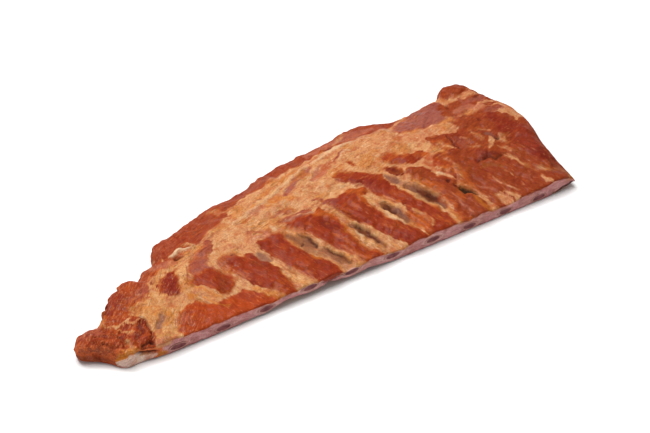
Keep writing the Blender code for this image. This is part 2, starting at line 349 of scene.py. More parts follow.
# Muscles seen from above: colour, swell in mm and outline.
muscles = [
    ("flap", -0.6, [
        (-134, 6), (-128, -6), (-121, -8), (-112, -3), (-104, -4), (-93, 1), (-85, 5), (-78, 8),
        (-70, 10), (-65, 13), (-60, 18), (-55, 23), (-48, 29), (-38, 33), (-22, 35), (-11, 36), (-9, 41),
        (10, 42), (22, 42), (30, 46), (42, 48), (60, 49), (80, 47), (100, 47), (112, 47), (126, 54),
        (126, 80), (80, 90), (0, 80), (-140, 50),
    ]),
    ("tip", 0.5, [
        (-232, -40), (-232, -72), (-208, -76), (-192, -82), (-176, -82), (-171, -70), (-172, -60),
        (-174, -52), (-178, -46), (-170, -38), (-162, -34), (-155, -28), (-150, -20), (-142, -12),
        (-128, -8), (-134, 8), (-150, 14), (-180, 14), (-215, -20),
    ]),
    ("glaze", 0.4, [
        (-154, -84), (-153, -73), (-152, -66), (-146, -60), (-139, -56), (-130, -54), (-124, -58),
        (-118, -64), (-108, -61), (-97, -61), (-90, -60), (-84, -65), (-78, -71), (-72, -76), (-68, -84),
        (-110, -90), (-150, -90),
    ]),
    ("meatDark", 0.9, [
        (-151, -35), (-147, -26), (-141, -19), (-134, -16), (-127, -16), (-128, -22), (-130, -30),
        (-133, -38), (-136, -44), (-143, -43), (-146, -37),
    ]),
    ("rose", 0.3, [
        (-121, -26), (-118, -20), (-113, -15), (-107, -10), (-100, -7), (-91, -3), (-87, -3), (-90, -9),
        (-94, -14), (-99, -19), (-104, -25), (-105, -31), (-118, -32),
    ]),
    ("meat", 0.9, [
        (-127, -37), (-120, -31), (-105, -30), (-99, -34), (-95, -39), (-92, -44), (-93, -51),
        (-97, -57), (-103, -59), (-109, -58), (-113, -52), (-116, -45), (-119, -41), (-125, -40),
    ]),
    ("meat", 0.2, [(-97, -28), (-91, -24), (-87, -27), (-88, -38), (-93, -37)]),
    ("meat", 1.3, [
        (-92, -25), (-86, -24), (-80, -27), (-73, -30), (-67, -32), (-66, -38), (-60, -44), (-57, -51),
        (-55, -60), (-54, -70), (-55, -84), (-64, -86), (-70, -76), (-76, -70), (-82, -64), (-84, -56),
        (-86, -51), (-90, -46), (-92, -40), (-89, -33),
    ]),
    ("meat", 1.5, [
        (-60, -25), (-50, -24), (-44, -22), (-38, -23), (-35, -28), (-37, -34), (-34, -42), (-28, -50),
        (-24, -57), (-20, -64), (-16, -70), (-13, -76), (-11, -86), (-33, -88), (-38, -76), (-43, -68),
        (-48, -60), (-51, -52), (-54, -45), (-58, -36),
    ]),
    ("meat", 1.6, [
        (-30, -17), (-22, -16), (-17, -11), (-8, -10), (-2, -17), (4, -15), (9, -19), (12, -27),
        (14, -36), (13, -44), (12, -52), (14, -60), (18, -68), (22, -74), (27, -86), (6, -88), (4, -74),
        (0, -65), (-6, -57), (-12, -49), (-17, -40), (-22, -31), (-27, -23),
    ]),
    ("meat", 1.7, [
        (8, -9), (15, -10), (24, -11), (33, -8), (42, -8), (47, -12), (49, -18), (43, -20), (42, -27),
        (45, -37), (48, -47), (53, -55), (60, -62), (64, -70), (66, -88), (52, -88), (46, -76),
        (40, -68), (35, -60), (31, -52), (26, -45), (21, -38), (18, -30), (14, -20),
    ]),
    ("meat", 1.7, [
        (31, 12), (41, 13), (48, 9), (55, 3), (63, -2), (69, -6), (68, -12), (70, -20), (75, -29),
        (80, -38), (85, -47), (90, -56), (93, -66), (96, -88), (66, -88), (64, -70), (63, -60),
        (64, -52), (66, -46), (61, -36), (55, -27), (51, -18), (49, -8), (42, -3), (35, 3),
    ]),
    ("meat", 0.8, [
        (79, 10), (84, 16), (89, 14), (94, 8), (103, 5), (112, 6), (118, 4), (117, -4), (108, -6),
        (98, -6), (90, -4), (84, 1), (79, 6),
    ]),
    ("rust", 0.9, [(73, 0), (79, 0), (86, -4), (89, -11), (85, -16), (79, -14), (75, -9)]),
    ("meatRight", 1.5, [
        (90, -9), (97, -9), (104, -12), (108, -19), (111, -28), (117, -32), (121, -40), (118, -50),
        (124, -58), (128, -66), (129, -86), (98, -86), (100, -74), (102, -62), (101, -52), (99, -42),
        (95, -31), (91, -22), (88, -15),
    ]),
    ("meatRight", 0.8, [
        (126, 13), (135, 14), (147, 11), (156, 9), (160, 14), (159, 24), (170, 22), (182, 22),
        (195, 21), (203, 17), (209, 10), (213, 3), (222, 0), (230, -20), (230, -90), (150, -90),
        (152, -80), (146, -67), (141, -67), (142, -90), (135, -90), (134, -74), (131, -62), (127, -54),
        (124, -44), (120, -34), (116, -26), (114, -18), (120, -8), (128, -4), (132, 0), (129, 6),
    ]),
    ("mauve", 0.2, [
        (111, 36), (115, 45), (123, 48), (131, 55), (140, 62), (160, 64), (172, 60), (170, 50),
        (168, 42), (166, 36), (160, 31), (150, 28), (140, 28), (130, 28), (121, 30), (114, 32),
    ]),
    ("meatRight", 0.3, [
        (160, 31), (170, 27), (184, 31), (196, 27), (214, 30), (222, 22), (228, 0), (224, 40), (214, 56),
        (206, 60), (203, 52), (192, 47), (184, 50), (172, 52), (166, 56), (162, 44),
    ]),
    ("meatRight", 2.6, [
        (176, 62), (180, 56), (187, 54), (195, 57), (203, 58), (206, 66), (204, 84), (190, 88),
        (176, 80),
    ]),
]

# Streaks laid over them in turn: what they join (fat, meat, or a tint on both), colour, its strength, rise
# in mm and the chain (x, y, half width).
streaks = [
    # the tip
    # the tip's outward rim in a tone lighter than its own: painted light on its shaded side
    ("tint", "tipSideLit", 0.8, 0.0, [(-229, -50, 4), (-222, -58, 4), (-212, -67, 5), (-204, -73, 4)]),
    ("tint", "mauve", 0.4, 0.6, [(-218, -48, 4), (-208, -46, 5)]),
    # dark creases along the tip, sunk and darkened: the meat's darker colour with painted shade in them
    ("tint", "deepMeatAndShade", 0.6, -1.6, [(-224, -52, 0.6), (-216, -58, 1.2), (-208, -64, 1.2), (-202, -70, 0.8)]),
    ("tint", "deepMeatAndShade", 0.5, -0.8, [(-212, -52, 0.6), (-204, -56, 0.8), (-199, -62, 0.6)]),
    ("tint", "deepMeatAndShade", 0.7, -1.4, [(-203, -38, 0.8), (-201, -44, 1.2), (-203, -50, 0.8)]),
    ("tint", "fatOrange", 0.5, 0.3, [(-216, -42, 1.2), (-210, -40, 1.2), (-206, -42, 1)]),
    ("tint", "meatDark", 0.7, 0.4, [(-190, -28, 6), (-180, -18, 6), (-176, -32, 6)]),
    ("fat", "tan", 0.9, 0.6, [(-200, -47, 0.9), (-194, -49, 1.3), (-188, -50, 1.1), (-182, -48, 1.3)]),
    ("fat", "tan", 0.8, 0.5, [(-185, -50, 1.0), (-180, -54, 1.4), (-176, -53, 0.8)]),
    ("fat", "tan", 0.8, 0.5, [(-193, -54, 0.8), (-189, -60, 1.2), (-184, -62, 0.9)]),
    ("fat", "tan", 0.9, 0.5, [(-194, -66, 0.9), (-191, -74, 1.4), (-190, -78, 1.4)]),
    # dark grooves between the tip's lumps: the meat's darker colour with painted shade in them
    ("tint", "deepMeatAndShade", 0.7, -0.8, [(-198, -55, 1.2), (-195, -66, 1.4), (-198, -74, 1)]),
    ("tint", "deepMeatAndShade", 0.7, -0.8, [(-184, -68, 2), (-178, -60, 2.4), (-175, -55, 1.6)]),
    ("fat", "fatOrange", 0.7, 0.3, [(-200, -43, 0.8), (-198, -34, 1.0), (-193, -24, 0.8)]),
    ("fat", "fatBright", 0.8, 0.7, [(-178, -45, 1.4), (-175, -39, 2.2), (-168, -36, 2.4), (-160, -36, 2)]),
    # a thin dark crease: painted shade in it
    ("tint", "deepMeatAndShade", 0.6, -0.8, [(-171, -47, 0.5), (-169, -41, 0.9), (-164, -40, 0.5)]),
    ("fat", "fatOrange", 0.9, 0.3, [(-205, -74, 1.2), (-198, -76, 1.9), (-190, -76.5, 1.6)]),
    ("meat", "rose", 0.8, 0.2, [(-174, -28, 3), (-164, -28, 5.5), (-156, -23, 5), (-148, -14, 4)]),
    ("tint", "tip", 0.6, 0.2, [(-168, -22, 2), (-158, -16, 3), (-148, -8, 3)]),
    ("fat", "fatBright", 0.6, 0.4, [(-153, -36, 1.2), (-152.5, -27, 1.3), (-148, -18, 1.3), (-140, -13, 1.2)]),
    ("tint", "rose", 0.6, 0.1, [(-165, -33, 3)]),
    ("fat", "fatBright", 0.7, 0.4, [(-172, -55, 1.2), (-168, -42, 1.5), (-160, -37, 1.3), (-148, -39, 1)]),
    ("tint", "fatBright", 0.7, 0.2, [(-162, -70, 3.5), (-158, -80, 4.5)]),
    ("tint", "greyFat", 0.9, -0.9, [(-165, -64, 2.6), (-161, -60, 1.5), (-160, -57, 2.6)]),
    ("tint", "greyMauve", 0.6, -0.4, [(-158, -57, 1.6)]),
    ("tint", "greyMauve", 0.5, -0.4, [(-166, -65, 1.5)]),
    ("tint", "olive", 0.3, 0.2, [(-164, -76, 3), (-157, -70, 2.4)]),
    # the dark crease down the tip's side and the crack at its front: painted shade in them
    ("tint", "deepMeatAndShade", 0.9, -1.6, [(-173, -50, 0.6), (-171.5, -60, 1.1), (-174, -70, 1.0), (-178, -77, 1.4)]),
    ("tint", "slitShadow", 0.8, -1.4, [(-186, -76, 0.9), (-180, -75, 1.1), (-175, -77, 0.9)]),
    ("tint", "fatPink", 0.6, 0.2, [(-172, -78, 3), (-160, -80, 2)]),
    # left of the middle
    ("fat", "tan", 0.9, 0.4, [(-150, -20, 1.2), (-140, -14, 1.6), (-132, -11, 1.5), (-122, -9, 1.6), (-113, -9, 1.2)]),
    ("fat", "tan", 0.8, 0.3, [(-150, -20, 1.2), (-152, -30, 1.4)]),
    ("tint", "fatPink", 0.7, 0.1, [(-140, -4, 3.5), (-126, -8, 3.5)]),
    ("tint", "fatBright", 0.7, 0.4, [(-113, -8, 2), (-118, -14, 3), (-122, -20, 3.6), (-127, -30, 2.6), (-132, -41, 1.8)]),
    ("tint", "meatDark", 0.8, -0.6, [(-119, -20, 0.5), (-123, -29, 0.7), (-127, -36, 0.5)]),
    ("tint", "tan", 0.7, 0.0, [(-148, -47, 5), (-136, -50, 5.5)]),
    ("tint", "fatOrange", 0.8, 0.5, [(-130, -48, 4)]),
    ("fat", "fatOrange", 0.7, 0.3, [(-127, -40, 1), (-120, -44, 1.3), (-116, -52, 1.3), (-110, -60, 1)]),
    ("tint", "fatOrange", 0.7, 0.3, [(-125, -50, 1.2), (-118, -62, 1.5), (-110, -70, 1)]),
    ("fat", "fat", 0.8, 0.4, [(-104, -28, 0.9), (-99, -34, 1.1), (-94, -40, 1.1), (-91, -46, 1), (-93, -53, 1), (-97, -58, 1), (-104, -61, 0.8)]),
    ("tint", "rust", 0.6, 0.0, [(-104, -52, 5), (-100, -46, 4)]),
    ("tint", "mauve", 0.6, 0.0, [(-118, -29, 1.6), (-108, -27, 2.4), (-102, -22, 2)]),
    ("tint", "fatPink", 0.7, 0.1, [(-94, -30, 3.5), (-92, -36, 2)]),
    ("fat", "fatBright", 0.6, 0.3, [(-96, -58, 1.4), (-92, -54, 2), (-87, -53, 2.2), (-85, -61, 2.2), (-79, -68, 2.4), (-72, -74, 2.2), (-67, -82, 2)]),
    ("tint", "fatOrange", 0.8, 0.0, [(-83, -64, 1.6), (-76, -72, 2), (-69, -79, 3)]),
    # a dark pit: painted shade in it
    ("tint", "hollow", 0.9, -0.8, [(-82, -27, 1.1)]),
    ("tint", "rose", 0.6, 0.2, [(-89, -26, 2), (-83, -29, 2.4)]),
    ("tint", "rust", 0.6, 0.3, [(-73, -41, 3), (-66, -48, 4)]),
    ("fat", "fatBright", 0.7, 0.4, [(-67, -31, 1.8), (-63, -37, 2.6), (-58, -46, 1.3), (-55, -54, 1.4), (-53, -62, 2.0), (-50, -69, 3.4), (-47, -82, 5.5)]),
    ("tint", "greyFat", 0.9, -0.8, [(-64, -35, 2.2), (-62, -39, 3.4), (-59, -43, 2.2)]),
    ("tint", "greyMauve", 0.6, -0.3, [(-63, -36, 1.2)]),
    # the flap's inner border and the sinew by it
    ("fat", "cream", 1.0, 1.6, [(-122, -2.5, 1.0), (-118, 0.5, 1.8), (-113, 0.5, 1.7), (-109, -2, 1.8), (-104, -4, 1)]),
    ("fat", "fatBright", 0.9, 1.2, [(-109, 6.5, 0.9), (-105, 6, 1.2), (-103.5, 1, 1.2), (-105, -4, 0.9)]),
    ("fat", "fatBright", 0.8, 0.5, [(-105, -5, 1.2), (-96, -2, 1.6), (-88, 3, 1.6), (-76, 8, 1.8), (-66, 13, 1.8), (-60, 19, 1.6), (-54, 24, 1.2)]),
    # the dark gap under the sinew: painted shadow in it
    ("tint", "slitShadow", 0.9, -1.4, [(-121, -5.5, 0.8), (-116, -7.5, 0.7)]),
    ("fat", "fatPink", 0.9, 0.5, [(-72, 33, 1.1), (-67, 31, 1.3), (-66, 25, 1.3), (-61, 22.5, 1.4), (-55, 24, 1.4)]),
    ("tint", "mauve", 0.5, 0.1, [(-86, 26, 1.6), (-76, 20, 2), (-68, 17, 1.6)]),
    # the fat band, from left to right
    ("tint", "cream", 0.45, 1.0, [(-66, 4, 1.0), (-40, 11, 1.4), (-14, 21, 1.6), (14, 33, 1.6), (44, 42, 1.4), (70, 46, 1.0)]),
    ("tint", "fatRed", 0.6, -0.7, [(-62, 1, 0.9), (-36, 7, 1.3), (-16, 13, 1.2)]),
    ("tint", "fatRed", 0.5, -0.5, [(-44, 16, 0.8), (-16, 26, 1.2), (12, 37.5, 1.2), (42, 46, 0.9)]),
    ("tint", "rose", 0.5, -0.4, [(-99, -3, 1.1), (-84, 1, 1.5), (-70, 1, 1.2)]),
    ("meat", "mauve", 0.9, 0.2, [(-60, -12, 1.2), (-55, -14, 1.8), (-50, -16, 1.8), (-45, -19, 1.2)]),
    ("tint", "fatPink", 0.7, 0.0, [(-60, -20, 2.6), (-47, -21, 2.2)]),
    ("tint", "fatOrange", 0.6, 0.2, [(-53, -6, 2.4)]),
    ("tint", "cream", 0.5, 0.3, [(-41, -14, 2.2), (-39, -18, 1.4)]),
    ("tint", "cream", 0.5, 0.3, [(-31, -24, 2)]),
    ("tint", "olive", 0.4, 0.1, [(-40, -4, 2), (-35, -7, 1.6)]),
    ("meat", "mauve", 0.9, 0.3, [(-34, -5, 1.0), (-25, -4, 2.2), (-18, -6, 1.4)]),
    ("meat", "mauve", 0.9, 0.3, [(-30, -10, 0.9), (-22, -11, 1.5), (-13, -12, 1.5), (-5, -14, 1)]),
    ("meat", "mauve", 0.8, 0.3, [(2, -6, 1.2), (6, -6, 1.9), (11, -8, 1.1)]),
    ("tint", "cream", 0.5, 0.2, [(-28, -14, 0.9), (-15, -15, 0.9)]),
    ("tint", "cream", 0.5, 0.2, [(-10, -17, 0.9), (-5, -16, 1.2), (-3, -18, 0.8)]),
    # a dark pit in the fat: painted shade in it
    ("tint", "hollow", 0.8, -0.8, [(-11, 11, 1.0)]),
    ("tint", "fatOrange", 0.6, 0.1, [(-30, 8, 3), (-20, 12, 4), (-8, 6, 3)]),
    ("tint", "fatOrange", 0.5, 0.1, [(-58, 14, 3), (-50, 20, 3)]),
    ("tint", "fatOrange", 0.5, 0.1, [(34, 14, 4), (44, 18, 3)]),
    ("tint", "fatBright", 0.6, 0.4, [(-36, 14, 2), (-22, 20, 2.6), (-8, 26, 2.6), (6, 32, 2)]),
    ("tint", "mauve", 1.0, -0.4, [(-12, 12, 1.6), (-5, 17, 2.4), (3, 22, 3), (12, 26, 3), (22, 31, 1.8)]),
    ("tint", "mauve", 0.7, -0.2, [(16, 17, 1.6), (23, 22, 2.2), (31, 28, 1.6)]),
    ("tint", "fatRed", 0.9, -0.2, [(20, 17, 1.6), (29, 20, 2.8), (36, 25, 3), (42, 31, 1.8)]),
    ("tint", "mauve", 0.5, 0.0, [(-44, 37, 3), (-25, 42, 4), (-8, 46, 4)]),
    ("meat", "mauve", 0.6, 0.0, [(-32, -13, 1.4), (-22, -15, 3), (-12, -14, 3.2), (-5, -12, 1.6)]),
    ("fat", "fatPink", 0.6, 0.2, [(-18, -13, 0.7), (-10, -17, 1.2), (-6, -19, 0.8)]),
    ("tint", "fatPink", 0.5, 0.0, [(20, 15, 2.6), (29, 19, 2.6)]),
    ("tint", "fatOrange", 0.5, 0.2, [(0, 33, 1.4), (12, 36, 1.8), (25, 36, 1.2)]),
    ("tint", "glazeBright", 0.6, 0.1, [(23, 3, 1.8)]),
    ("tint", "fatPink", 0.5, 0.0, [(-46, 8, 2), (-35, 8, 2)]),
    ("meat", "meatRight", 0.8, 0.2, [(54, 20, 2.6), (57, 14, 1.6)]),
    ("meat", "mauve", 0.8, -0.3, [(45, 28, 1.1), (50, 33, 1.9), (57, 37, 1.1)]),
    ("tint", "cream", 0.5, 0.5, [(49, 28, 0.9), (55, 33, 1.1), (61, 37, 0.8)]),
    ("tint", "fatRed", 0.8, 0.1, [(105, 26, 2.6), (110, 27, 2.8)]),
    ("tint", "fatPink", 0.65, 0.1, [(34, 54, 3.5), (60, 57, 5), (84, 57, 5.5), (97, 56, 3)]),
    ("tint", "cream", 0.5, 0.3, [(42, 45, 1.6), (56, 47, 2.4), (72, 46, 2.2)]),
    ("tint", "mauve", 0.6, 0.0, [(70, 56, 1.6), (84, 60, 2.4), (98, 55, 2)]),
    ("tint", "fatBright", 0.5, 0.2, [(60, 52, 1.4), (72, 62, 1.6), (82, 66, 1.2)]),
    # a thin dark crease: painted shade in it
    ("tint", "deepMeatAndShade", 0.6, -0.4, [(48, 49, 0.9), (56, 49.5, 0.9)]),
    # the first window between the ribs
    ("fat", "tan", 0.8, -0.3, [(-36, -31, 1.6), (-31, -40, 3), (-25, -49, 4.4), (-19, -57, 5), (-13, -65, 6), (-8, -73, 6.5), (-4, -86, 7)]),
    ("tint", "taupePale", 0.5, -0.5, [(-33, -30, 3), (-28, -38, 4.5), (-22, -46, 3.4), (-15, -58, 4.4), (-9, -67, 4.4), (-4, -76, 3)]),
    ("tint", "greyMauve", 0.8, -0.4, [(-34, -29, 1.6), (-31, -32, 2.2), (-28, -36, 1.4)]),
    ("tint", "taupe", 0.85, -0.8, [(-31, -32, 2.6), (-28, -37, 4), (-23, -43, 3.6), (-18, -49, 1.8)]),
    # the window's dark grooves and slot, sunk: painted shade in the hollows
    ("tint", "hollow", 0.9, -1.2, [(-26, -31, 0.6), (-22, -37, 0.9), (-17.5, -48, 1.1)]),
    ("tint", "slitShadow", 0.85, -0.8, [(-29, -43.5, 0.7), (-26, -40.5, 0.8)]),
    ("tint", "taupe", 0.85, -0.8, [(-18, -53, 1.4), (-13, -60, 3), (-9, -67, 3.2), (-5, -74, 1.6)]),
    ("tint", "fatPink", 0.4, 0.3, [(-18, -56, 0.4), (-14, -63, 0.5), (-11, -71, 0.4)]),
    ("tint", "taupe", 0.6, 0.1, [(-28, -46, 2), (-22, -54, 2), (-18, -62, 1.4)]),
    # the second dark groove, sunk: painted shade in it
    ("tint", "hollow", 0.9, -1.2, [(-14, -52, 0.7), (-9.5, -59, 1.1), (-5, -67, 1.1), (-3, -74, 0.7)]),
    ("tint", "fatBright", 0.8, 0.6, [(-9, -56, 1), (-4, -63, 1.3), (0, -70, 1.4), (4, -80, 1.6)]),
    ("tint", "taupePale", 0.8, 0.2, [(-12, -70, 2), (-8, -76, 2.6)]),
    ("tint", "fatOrange", 0.5, 0.2, [(-28, -54, 1.4), (-24, -62, 1.8)]),
    ("tint", "meatDark", 0.5, 0.0, [(-32, -46, 1.2), (-28, -54, 1.4)]),
    # a dark crack, sunk: painted shadow in it
    ("tint", "meatDark", 0.7, -1.0, [(-35, -49, 0.5), (-32, -53, 0.8), (-29, -57, 0.5)]),
    ("tint", "glaze", 0.45, 0.2, [(-42, -53, 5), (-34, -63, 6)]),
    ("tint", "glazeBright", 0.8, 0.2, [(-2, -20, 2.6), (4, -22, 4), (9, -26, 2.6)]),
    ("tint", "deepMeatAndShade", 0.5, 0.0, [(-2, -30, 3), (4, -40, 4)]),
    # the second
    ("fat", "tan", 0.8, 0.3, [(3, -12, 0.8), (8, -17, 1.4), (12, -24, 1.3), (15, -32, 2.4), (18, -41, 3), (21, -52, 5), (25, -62, 5), (30, -73, 5), (34, -86, 5.5)]),
    ("tint", "taupe", 0.9, -1.1, [(18, -42, 2.6), (22, -50, 4.2), (25, -58, 4.2), (28, -66, 3.2), (31, -73, 1.4)]),
    # the dark slot down the window's right side: painted shade in the hollow, on the bone's darker colour
    ("tint", "taupeDark", 0.9, -1.3, [(20, -43, 1.0), (23, -50, 2.2), (26, -58, 2.2), (28, -66, 1.2)]),
    ("tint", "slitShadow", 0.6, -0.4, [(21, -43, 0.8), (24, -49, 1)]),
    ("tint", "fatBright", 0.8, 0.6, [(14, -42, 0.8), (14, -50, 1.1), (17, -59, 1.2), (22, -68, 1.4), (29, -79, 1.6)]),
    # the whitish lip on the window's left: pale fat with a painted highlight
    ("tint", "cream", 0.8, 0.4, [(17, -49, 1.1), (18, -57, 1.3)]),
    ("tint", "greyMauve", 0.6, 0.1, [(15, -40, 1.6), (18, -46, 1.8)]),
    ("tint", "fatBright", 0.7, 0.6, [(18, -37, 0.9), (24, -44, 1.1), (28, -52, 1.2), (31, -60, 1.4)]),
    ("fat", "tan", 0.7, 0.4, [(30, -56, 0.8), (35, -62, 1.2), (39, -68, 1.4), (43, -76, 1.3), (46, -82, 1)]),
    ("tint", "olive", 0.9, -0.5, [(32, -71, 1.3)]),
    ("tint", "rust", 0.6, -0.2, [(24, -70, 1.6), (27, -76, 2.4), (29, -84, 2.6)]),
    ("tint", "fatOrange", 0.6, 0.1, [(12, -40, 1.2), (10, -50, 1.1)]),
    ("tint", "glazeBright", 0.7, 0.2, [(34, -11, 3), (42, -14, 4.4), (39, -24, 3)]),
    # thin dark creases, sunk: the meat's darker colour with painted shade in them
    ("tint", "deepMeatAndShade", 0.55, -0.6, [(15, -20, 0.6), (17, -26, 0.9), (21, -35, 0.8), (26, -44, 0.7)]),
    ("tint", "deepMeatAndShade", 0.6, -0.7, [(40, -62, 0.5), (45, -56, 0.5)]),
    ("tint", "mauve", 0.5, 0.0, [(11, -12, 2), (20, -14, 3.4)]),
    # the third
    ("fat", "tan", 0.8, 0.2, [(42, -21, 1.6), (46, -29, 2.6), (51, -38, 4), (57, -48, 4.4), (61, -57, 2.4), (62, -64, 1.4)]),
    ("tint", "fatOrange", 0.4, 0.2, [(42, -21, 1.6), (47, -30, 1.6)]),
    ("tint", "taupe", 0.9, -1.2, [(52, -34, 2.4), (55, -42, 4.4), (59, -50, 4.2), (61, -57, 3)]),
    # the window's dark hollow: painted shade in it
    ("tint", "hollow", 0.9, -1.2, [(53, -34, 1.4), (54, -40, 2.6), (57, -47, 2)]),
    ("tint", "greyMauve", 0.8, 0.1, [(58, -42, 1.2), (61, -50, 1.8), (62, -56, 1.4)]),
    ("tint", "fatBright", 0.8, 0.6, [(43, -20, 0.8), (46.5, -30, 1.0), (48.5, -39, 1.1), (52, -50, 1.2), (58, -61, 1.4)]),
    ("tint", "cream", 0.5, 0.3, [(48.5, -43, 0.8), (52, -53, 1.0), (58, -61, 0.9)]),
    ("tint", "fatBright", 0.8, 0.7, [(52, -28, 0.9), (58, -35, 1.1), (63, -44, 1.1), (66, -52, 0.9)]),
    ("tint", "meatDark", 0.7, 0.1, [(47, -6, 3), (60, -12, 3.4)]),
    ("tint", "glazeBright", 0.7, 0.3, [(66, -53, 2.6), (67, -64, 4), (68, -78, 3.4)]),
    ("fat", "fat", 0.7, 0.3, [(70, -51, 0.8), (75, -59, 1.3), (77, -66, 1.5), (75, -74, 1)]),
    ("fat", "fat", 0.6, 0.2, [(61, -60, 0.9), (64, -68, 1.2), (66, -80, 0.8)]),
    ("fat", "fatBright", 0.6, 0.3, [(28, 1, 0.8), (36, -1, 0.9), (41, -4, 0.9), (47, -6, 0.8)]),
    # a thin dark crease: painted shade in it
    ("tint", "deepMeatAndShade", 0.4, -0.3, [(42, 0, 0.6), (50, -6, 0.6)]),
    ("tint", "glazeBright", 0.6, 0.1, [(70, -55, 2), (72, -66, 2.4), (71, -76, 2.4)]),
    ("tint", "fatPink", 0.6, 0.2, [(66, -56, 0.7), (69, -66, 0.8), (70, -78, 0.7)]),
    # the fourth and the meat round it
    ("fat", "tan", 0.7, 0.3, [(84, 0, 0.8), (90, -5, 1.1), (97, -7, 1.1), (104, -10, 1.1), (108, -16, 1.2), (110, -23, 1.2), (115, -29, 1)]),
    ("tint", "fatRed", 0.3, 0.0, [(71, -3, 2)]),
    ("fat", "tan", 0.6, 0.2, [(72, -17, 2), (78, -26, 4), (84, -36, 6), (89, -46, 6), (94, -56, 2.6), (97, -66, 1.0), (98, -86, 0.9)]),
    ("tint", "greyMauve", 0.9, -1.1, [(70, -10, 1.8), (74, -15, 3), (78, -20, 2)]),
    ("tint", "taupePale", 0.8, -0.2, [(79, -22, 2.4), (84, -27, 3.4), (88, -36, 6), (92, -46, 5.6), (95, -55, 3)]),
    ("tint", "taupe", 0.95, -1.6, [(82, -27, 3), (87, -34, 6), (91, -42, 7), (95, -50, 5.6), (97, -57, 3)]),
    ("tint", "greyMauve", 0.7, 0.1, [(84, -30, 1.8), (86, -36, 2)]),
    # the window's dark middle, hollow and slot: painted shade in the recess, on the bone's darker colour
    ("tint", "taupeDark", 0.9, -0.8, [(88, -35, 3), (92, -42, 5.2), (95, -48, 4)]),
    ("tint", "hollow", 0.6, -0.3, [(92, -38, 1.6), (95, -43, 2.6), (96, -47, 1.4)]),
    ("tint", "greyMauve", 0.7, 0.2, [(94, -54, 2.6), (98, -57, 1.4)]),
    ("tint", "slitShadow", 0.5, -0.3, [(91, -41, 1.6), (93, -46, 2)]),
    ("tint", "fatBright", 0.7, 0.5, [(73, -20, 0.8), (76, -27, 1.1), (81, -36, 1.1), (86, -46, 1.1), (91, -56, 1.1), (95, -64, 1), (97, -76, 0.8)]),
    ("tint", "tan", 0.7, 0.6, [(84, -21, 1.4), (91, -28, 1.2), (97, -36, 1), (99, -46, 0.8)]),
    ("tint", "glaze", 0.4, 0.2, [(99, -48, 2), (101, -60, 3), (101, -76, 3)]),
    ("tint", "glazeBright", 0.6, 0.2, [(95, -24, 2.4), (99, -34, 3), (103, -42, 3)]),
    ("fat", "fatBright", 0.7, 0.3, [(111, 13, 3), (120, 7, 4.4), (126, 0, 3.6), (130, -7, 1.8)]),
    ("tint", "glazeBright", 0.8, 0.2, [(109, -1, 3), (114, -2, 4.4), (114, -7, 2.4)]),
    ("tint", "rose", 0.6, 0.2, [(108, -48, 1), (111, -64, 1.6), (112, -82, 1.4)]),
    ("tint", "glaze", 0.8, 0.2, [(113, -12, 5), (119, -21, 6)]),
    ("fat", "tan", 0.7, 0.3, [(110, -9, 1.4), (114, -13, 1.8)]),
    ("fat", "tan", 0.7, 0.3, [(112, -19, 1.2), (117, -22, 1.6)]),
    ("fat", "cream", 0.7, 0.3, [(112, -26, 1.4), (116, -28, 0.8)]),
    ("fat", "tan", 0.7, 0.3, [(121, -26, 1.2)]),
    # a dark pit: painted shade in it
    ("tint", "hollow", 0.9, -0.9, [(113, -40, 0.9), (115, -37.5, 1.2)]),
    ("tint", "fatPink", 0.6, 0.3, [(109, -52, 0.6), (110, -62, 0.9), (111, -74, 0.8)]),
    ("tint", "fatOrange", 0.5, 0.1, [(98, -62, 1.4), (99, -70, 1.6), (99, -78, 1.6)]),
    ("tint", "deepMeatAndShade", 0.6, -0.2, [(81, -4, 2), (83, -8, 2.4)]),
    # the black slit with a dark ring round it: painted shadow in the deep gap, over a relief sunk into it
    ("tint", "deepMeatAndShade", 0.85, -0.4, [(117, -45, 2), (122, -52, 3.8), (127, -59, 2.6)]),
    ("tint", "shadowBlack", 1.0, -2.2, [(118.5, -47.5, 1.2), (122, -52, 2.9), (126, -57.5, 1.8)]),
    ("tint", "shadowBlack", 1.0, -0.6, [(119, -48, 1.1), (122, -52, 2.7), (125.5, -57, 1.6)]),
    ("fat", "fat", 0.8, 0.4, [(127, -48, 0.8), (129, -57, 1.2), (131, -66, 2), (132, -74, 3), (130, -86, 2.6)]),
    ("tint", "fatOrange", 0.5, 0.0, [(124, -64, 2), (126, -78, 2.4)]),
    ("fat", "rose", 0.8, 0.3, [(127, -14, 0.9), (130, -24, 1.2), (128, -34, 1.1), (123, -40, 0.8)]),
    # towards the wide end
    ("tint", "glaze", 0.7, 0.2, [(131, 7, 2.6)]),
    ("fat", "fat", 0.6, 0.2, [(133, 3, 1.2), (137, -4, 1.4), (141, -8, 1)]),
    # a dark crease, sunk: painted shade in it
    ("tint", "deepMeatAndShade", 0.75, -1.3, [(145, 8, 0.6), (144.5, -4, 0.8), (146, -12, 0.6)]),
    ("fat", "rose", 0.7, 0.2, [(153, 4, 0.9), (157, -2, 0.7)]),
    ("fat", "rose", 0.7, 0.2, [(155, -12, 0.8), (161, -15, 0.8)]),
    ("tint", "rose", 0.7, 0.3, [(154, -25, 0.8), (158, -27.5, 0.8), (161, -25, 0.8), (158, -22.5, 0.8), (154, -25, 0.8)]),
    ("fat", "fatPink", 0.8, 0.3, [(166, 3, 0.9), (168, -2, 1.3), (170, -8, 0.9)]),
    # the dark crack with darker meat round it: painted shadow in the crack
    ("tint", "deepMeatAndShade", 0.6, -0.3, [(150, -29, 2), (160, -27, 3), (170, -30, 2)]),
    ("tint", "olive", 0.35, 0.2, [(152, -35, 1.2), (158, -38, 2.2), (166, -43, 1)]),
